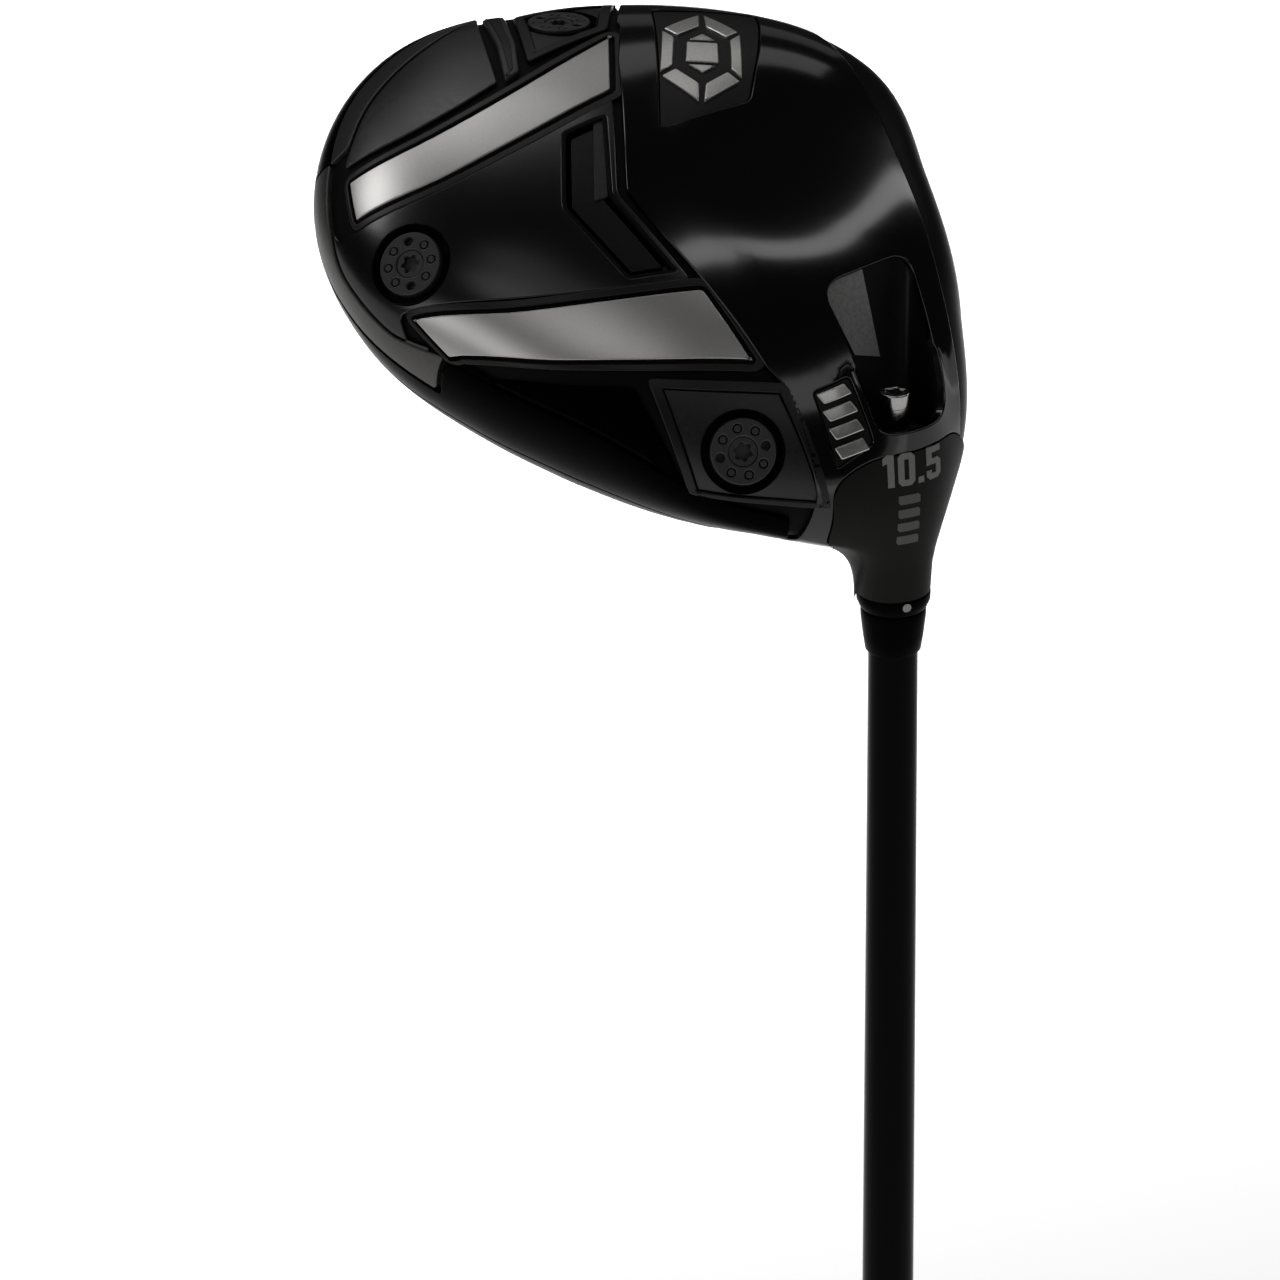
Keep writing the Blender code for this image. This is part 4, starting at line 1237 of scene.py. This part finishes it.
bolt_lift = on_plane(Vector((0.0, 0.0, world_height(BOLT_END))), UP)
bolt = plate("hosel_bolt_head", circle(2.65, 48), bolt_steel, [star(6, 1.85, 1.35)], 0.0, -2.6, 0.3,
             lift=bolt_lift, spacing=0.6, step=0.35, body="hosel_bolt")
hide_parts("hosel_bolt")
bolt_profile = at_levels([(0.0, 15.4), (2.65, 15.4), (2.65, 19.6), (2.4, 19.6), (2.4, 31.4), (1.9, 32.0),
                          (0.0, 32.0)])
lathe("hosel_bolt_shank", bolt_profile, bolt_steel, Vector(), UP, "hosel_bolt", 48)

ring_profile = at_levels([(5.6, 50.1), (6.45, 50.1), (6.55, 50.3), (6.5, 51.6), (5.95, 52.9), (5.8, 53.1),
                          (5.6, 53.1)])
ring = lathe("index_ring_shell", ring_profile, ring_polymer, Vector(), UP, "index_ring", 96, closed=True)
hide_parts("index_ring")
ferrule_profile = at_levels([(4.7, 53.5), (5.7, 53.5), (5.8, 53.8), (5.75, 55.0), (5.35, 58.5), (4.95, 61.2),
                             (4.8, 61.4), (4.7, 61.4)])
ferrule = lathe("ferrule_shell", ferrule_profile, ring_polymer, Vector(), UP, "club_shaft", 96, closed=True)
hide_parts("ferrule")

SHAFT_NECK = world_height(64.0)
SHAFT_TAPER_START = 200.0
BUTT_RADIUS = 7.55
TIP_RADIUS = 4.4
GLUED_TIP_RADIUS = 4.2


def shaft_radius(height):
    share = min(max((height - SHAFT_TAPER_START) / (SHAFT_NECK - SHAFT_TAPER_START), 0.0), 1.0)
    return BUTT_RADIUS + (TIP_RADIUS - BUTT_RADIUS) * share


shaft_profile = [(shaft_radius(z), z) for z in (262.0, 300.0, 400.0, 600.0, 800.0, 1000.0, 1060.0)]
shaft_profile += at_levels([(TIP_RADIUS, 61.0), (GLUED_TIP_RADIUS, 54.0), (GLUED_TIP_RADIUS, 35.0)])
shaft = lathe("shaft_tube", shaft_profile, shaft_gloss, Vector(), UP, "club_shaft", 128)
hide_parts("shaft")


def on_ring(u, level, height):
    """A height above the ring's near side: u runs round it, in millimetres."""
    radius = 6.53 - 0.42 * max(level - 51.6, 0.0)
    out = Vector((math.sin(u / radius), -math.cos(u / radius), 0.0))
    return out * (radius + height) + Vector((0.0, 0.0, world_height(level))), out


plate("index_ring_dot", circle(0.8, 28, (-0.3, 51.1)), dot_white, (), 0.04, -0.3, 0.03,
      spacing=0.5, step=0.3, lift=on_ring, body="index_ring")

# the grip: a tapering sleeve with bands of slanted grooves between plain bands
GRIP_LOW = 4.6
GRIP_HIGH = 266.7
GRIP_BUTT_RADIUS = 13.3
GRIP_MOUTH_RADIUS = 8.9
PATTERN_LOW = 12.0
PATTERN_HIGH = 252.0
BAND_PITCH = 48.0
BAND_LENGTH = 40.0
GROOVE_TURNS = 12.0
GROOVE_SLANT = 0.95
GROOVE_DEPTH = 0.28


def grip_radius(height):
    share = min(max((height - GRIP_LOW) / (GRIP_HIGH - GRIP_LOW), 0.0), 1.0)
    return GRIP_BUTT_RADIUS + (GRIP_MOUTH_RADIUS - GRIP_BUTT_RADIUS) * share**0.75


def grip_groove(height, turn):
    """How deep the pattern is cut: slanted grooves that cross, fading out at each band's ends."""
    band = (height - PATTERN_LOW) % BAND_PITCH
    if not PATTERN_LOW < height < PATTERN_HIGH or band > BAND_LENGTH:
        return 0.0
    fade = smooth_step(0.0, 2.0, band) * smooth_step(0.0, 2.0, BAND_LENGTH - band)
    one = math.cos(GROOVE_TURNS * turn + height * GROOVE_SLANT)
    other = math.cos(GROOVE_TURNS * turn - height * GROOVE_SLANT)
    return fade * (smooth_step(0.72, 0.95, one) + smooth_step(0.72, 0.95, other))


def build_grip():
    steps, rows = 180, 330
    points, faces = [], []
    for radius, height in ((8.3, GRIP_HIGH - 6.0), (8.3, GRIP_HIGH), (8.7, GRIP_HIGH + 0.1)):
        for step in range(steps):
            turn = 2.0 * math.pi * step / steps
            points.append(Vector((radius * math.cos(turn), radius * math.sin(turn), height)))
    for row in range(rows + 1):
        height = GRIP_HIGH - 0.3 - (GRIP_HIGH - GRIP_LOW - 0.3) * row / rows
        for step in range(steps):
            turn = 2.0 * math.pi * step / steps
            radius = grip_radius(height) - GROOVE_DEPTH * grip_groove(height, turn)
            points.append(Vector((radius * math.cos(turn), radius * math.sin(turn), height)))
    for row in range(rows + 3):
        for step in range(steps):
            after = (step + 1) % steps
            low, high = row * steps, (row + 1) * steps
            faces.append([low + step, low + after, high + after, high + step][::-1])
    return points, faces


points, faces = build_grip()
grip = add_mesh("grip_sleeve", points, faces, grip_rubber, sharp=55.0)
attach(grip, "club_shaft")
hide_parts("grip")
cap_profile = [(8.2, 4.3), (13.2, 4.3), (13.5, 4.0), (13.55, 1.7), (13.1, 0.6), (12.2, 0.05), (4.2, 0.05),
               (3.8, 0.5), (1.2, 0.5), (1.0, 0.9), (0.0, 0.9)]
cap = lathe("grip_end_cap", cap_profile, cap_polymer, Vector(), UP, "club_shaft", 96)
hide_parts("grip_cap")

# ---------------------------------------------------------------- camera

CAMERA_LENS = 111.15
CAMERA_PLACE = (-0.25951, -0.57637, 1.39193)
CAMERA_AZIMUTH = math.radians(-20.195)
CAMERA_ELEVATION = math.radians(25.089)
CAMERA_ROLL = math.radians(-1.2585)

camera_data = bpy.data.cameras.new("camera")
camera_data.lens = CAMERA_LENS
camera_data.sensor_width = 36.0
camera_data.clip_start = 0.05
camera_data.clip_end = 60.0
camera = bpy.data.objects.new("camera", camera_data)
bpy.context.scene.collection.objects.link(camera)
flat_reach = math.cos(CAMERA_ELEVATION)
back = Vector((math.sin(CAMERA_AZIMUTH) * flat_reach, -math.cos(CAMERA_AZIMUTH) * flat_reach,
               math.sin(CAMERA_ELEVATION)))
level_right = Vector((math.cos(CAMERA_AZIMUTH), math.sin(CAMERA_AZIMUTH), 0.0))
level_up = back.cross(level_right)
right = level_right * math.cos(CAMERA_ROLL) + level_up * math.sin(CAMERA_ROLL)
up = level_up * math.cos(CAMERA_ROLL) - level_right * math.sin(CAMERA_ROLL)
camera.matrix_world = Matrix(
    [(right[row], up[row], back[row], CAMERA_PLACE[row]) for row in range(3)] + [(0, 0, 0, 1)]
)
bpy.context.scene.camera = camera

# ---------------------------------------------------------------- studio

LEFT_SHOWING = {
    "adapter_sleeve": anodised,
    "grip_tape": tape_paper,
    "tip_plug": cap_polymer,
    "bolt_washer": seal_rubber,
    "rear_weight_seal": seal_rubber,
    "heel_weight_seal": seal_rubber,
    "toe_weight_seal": seal_rubber,
}
for name, material in LEFT_SHOWING.items():
    for slot in bpy.data.objects[name].material_slots:
        slot.material = material

bpy.context.scene.view_settings.view_transform = "Standard"
HEAD_MIDDLE = Vector((0.02, 0.04, 1.125))


def aim(azimuth, elevation):
    """A unit direction: azimuth 0 is -Y, 90 is +X."""
    a, e = math.radians(azimuth), math.radians(elevation)
    return Vector((math.sin(a) * math.cos(e), -math.cos(a) * math.cos(e), math.sin(e)))


def softbox(name, first, last, width, strength, distance=1.5):
    """A long lamp seen from the head's middle along the arc between two directions."""
    middle = (first + last).normalized()
    light = bpy.data.lights.new(name, "AREA")
    light.shape = "RECTANGLE"
    light.size = 2.0 * distance * math.tan(first.angle(last) / 2.0)
    light.size_y = width
    light.energy = strength * light.size * light.size_y
    lamp = bpy.data.objects.new(name, light)
    bpy.context.scene.collection.objects.link(lamp)
    along = (last - first).normalized()
    across = middle.cross(along).normalized()
    along = across.cross(middle)
    place = HEAD_MIDDLE + middle * distance
    lamp.matrix_world = Matrix(
        [(along[row], across[row], middle[row], place[row]) for row in range(3)] + [(0, 0, 0, 1)]
    )
    return lamp


# each lamp: its two ends as (azimuth, elevation) in degrees, its width in metres, its strength
LAMPS = {
    "band_light": ((51.0, 75.5), (111.0, 22.0), 0.13, 6.5),
    "back_light": ((132.0, 46.0), (186.0, 44.0), 0.3, 1.4),
    "back_high_light": ((150.0, 65.0), (200.0, 65.0), 0.3, 3.4),
    "back_low_light": ((140.0, 25.0), (180.0, 25.0), 0.3, 0.4),
    "left_light": ((-140.0, 50.0), (-115.0, 38.0), 0.25, 13.0),
    "left_high_light": ((-175.0, 62.0), (-150.0, 52.0), 0.25, 5.5),
    "front_light": ((-55.0, 46.0), (-15.0, 52.0), 0.4, 2.6),
    "front_low_light": ((-85.0, 16.0), (-50.0, 16.0), 0.4, 4.0),
    "front_high_light": ((-60.0, 62.0), (-25.0, 64.0), 0.25, 1.2),
    "low_light": ((-20.0, -5.0), (20.0, -5.0), 0.3, 1.0),
    "right_light": ((75.0, 0.0), (110.0, 0.0), 0.3, 1.0),
    "near_light": ((0.0, 40.0), (40.0, 40.0), 0.3, 2.2),
}
for name, (first, last, width, strength) in LAMPS.items():
    softbox(name, aim(*first), aim(*last), width, strength)

# a wide lamp above the floor behind the club
BACKDROP_SIZE = 4.4
BACKDROP_SPREAD = math.radians(80.0)
BACKDROP_POWER = 125.0
BACKDROP_PLACE = (1.3, 4.0, 3.0)
FLOOR_REACH = 14.0
FLOOR_GLOW = 0.45
WORLD_STRENGTH = 0.02

backdrop = bpy.data.lights.new("backdrop_light", "AREA")
backdrop.shape = "SQUARE"
backdrop.size = BACKDROP_SIZE
backdrop.spread = BACKDROP_SPREAD
backdrop.energy = BACKDROP_POWER
backdrop_lamp = bpy.data.objects.new("backdrop_light", backdrop)
bpy.context.scene.collection.objects.link(backdrop_lamp)
backdrop_lamp.location = BACKDROP_PLACE

floor_mesh = bpy.data.meshes.new("floor")
corners = [(x * FLOOR_REACH, y * FLOOR_REACH, 0.0) for x, y in ((-1, -1), (1, -1), (1, 1), (-1, 1))]
floor_mesh.from_pydata(corners, [], [(0, 1, 2, 3)])
floor = bpy.data.objects.new("floor", floor_mesh)
bpy.context.scene.collection.objects.link(floor)
pale = new_material("pale_floor", (0.8, 0.8, 0.8), 0.9, specular=0.1)
pale_shader = pale.node_tree.nodes["Principled BSDF"]
pale_shader.inputs["Emission Color"].default_value = (1.0, 1.0, 1.0, 1.0)
pale_shader.inputs["Emission Strength"].default_value = FLOOR_GLOW
floor_mesh.materials.append(pale)

world = bpy.data.worlds.new("studio")
bpy.context.scene.world = world
world.use_nodes = True
background = world.node_tree.nodes["Background"]
background.inputs["Color"].default_value = (0.95, 0.97, 1.0, 1.0)
background.inputs["Strength"].default_value = WORLD_STRENGTH
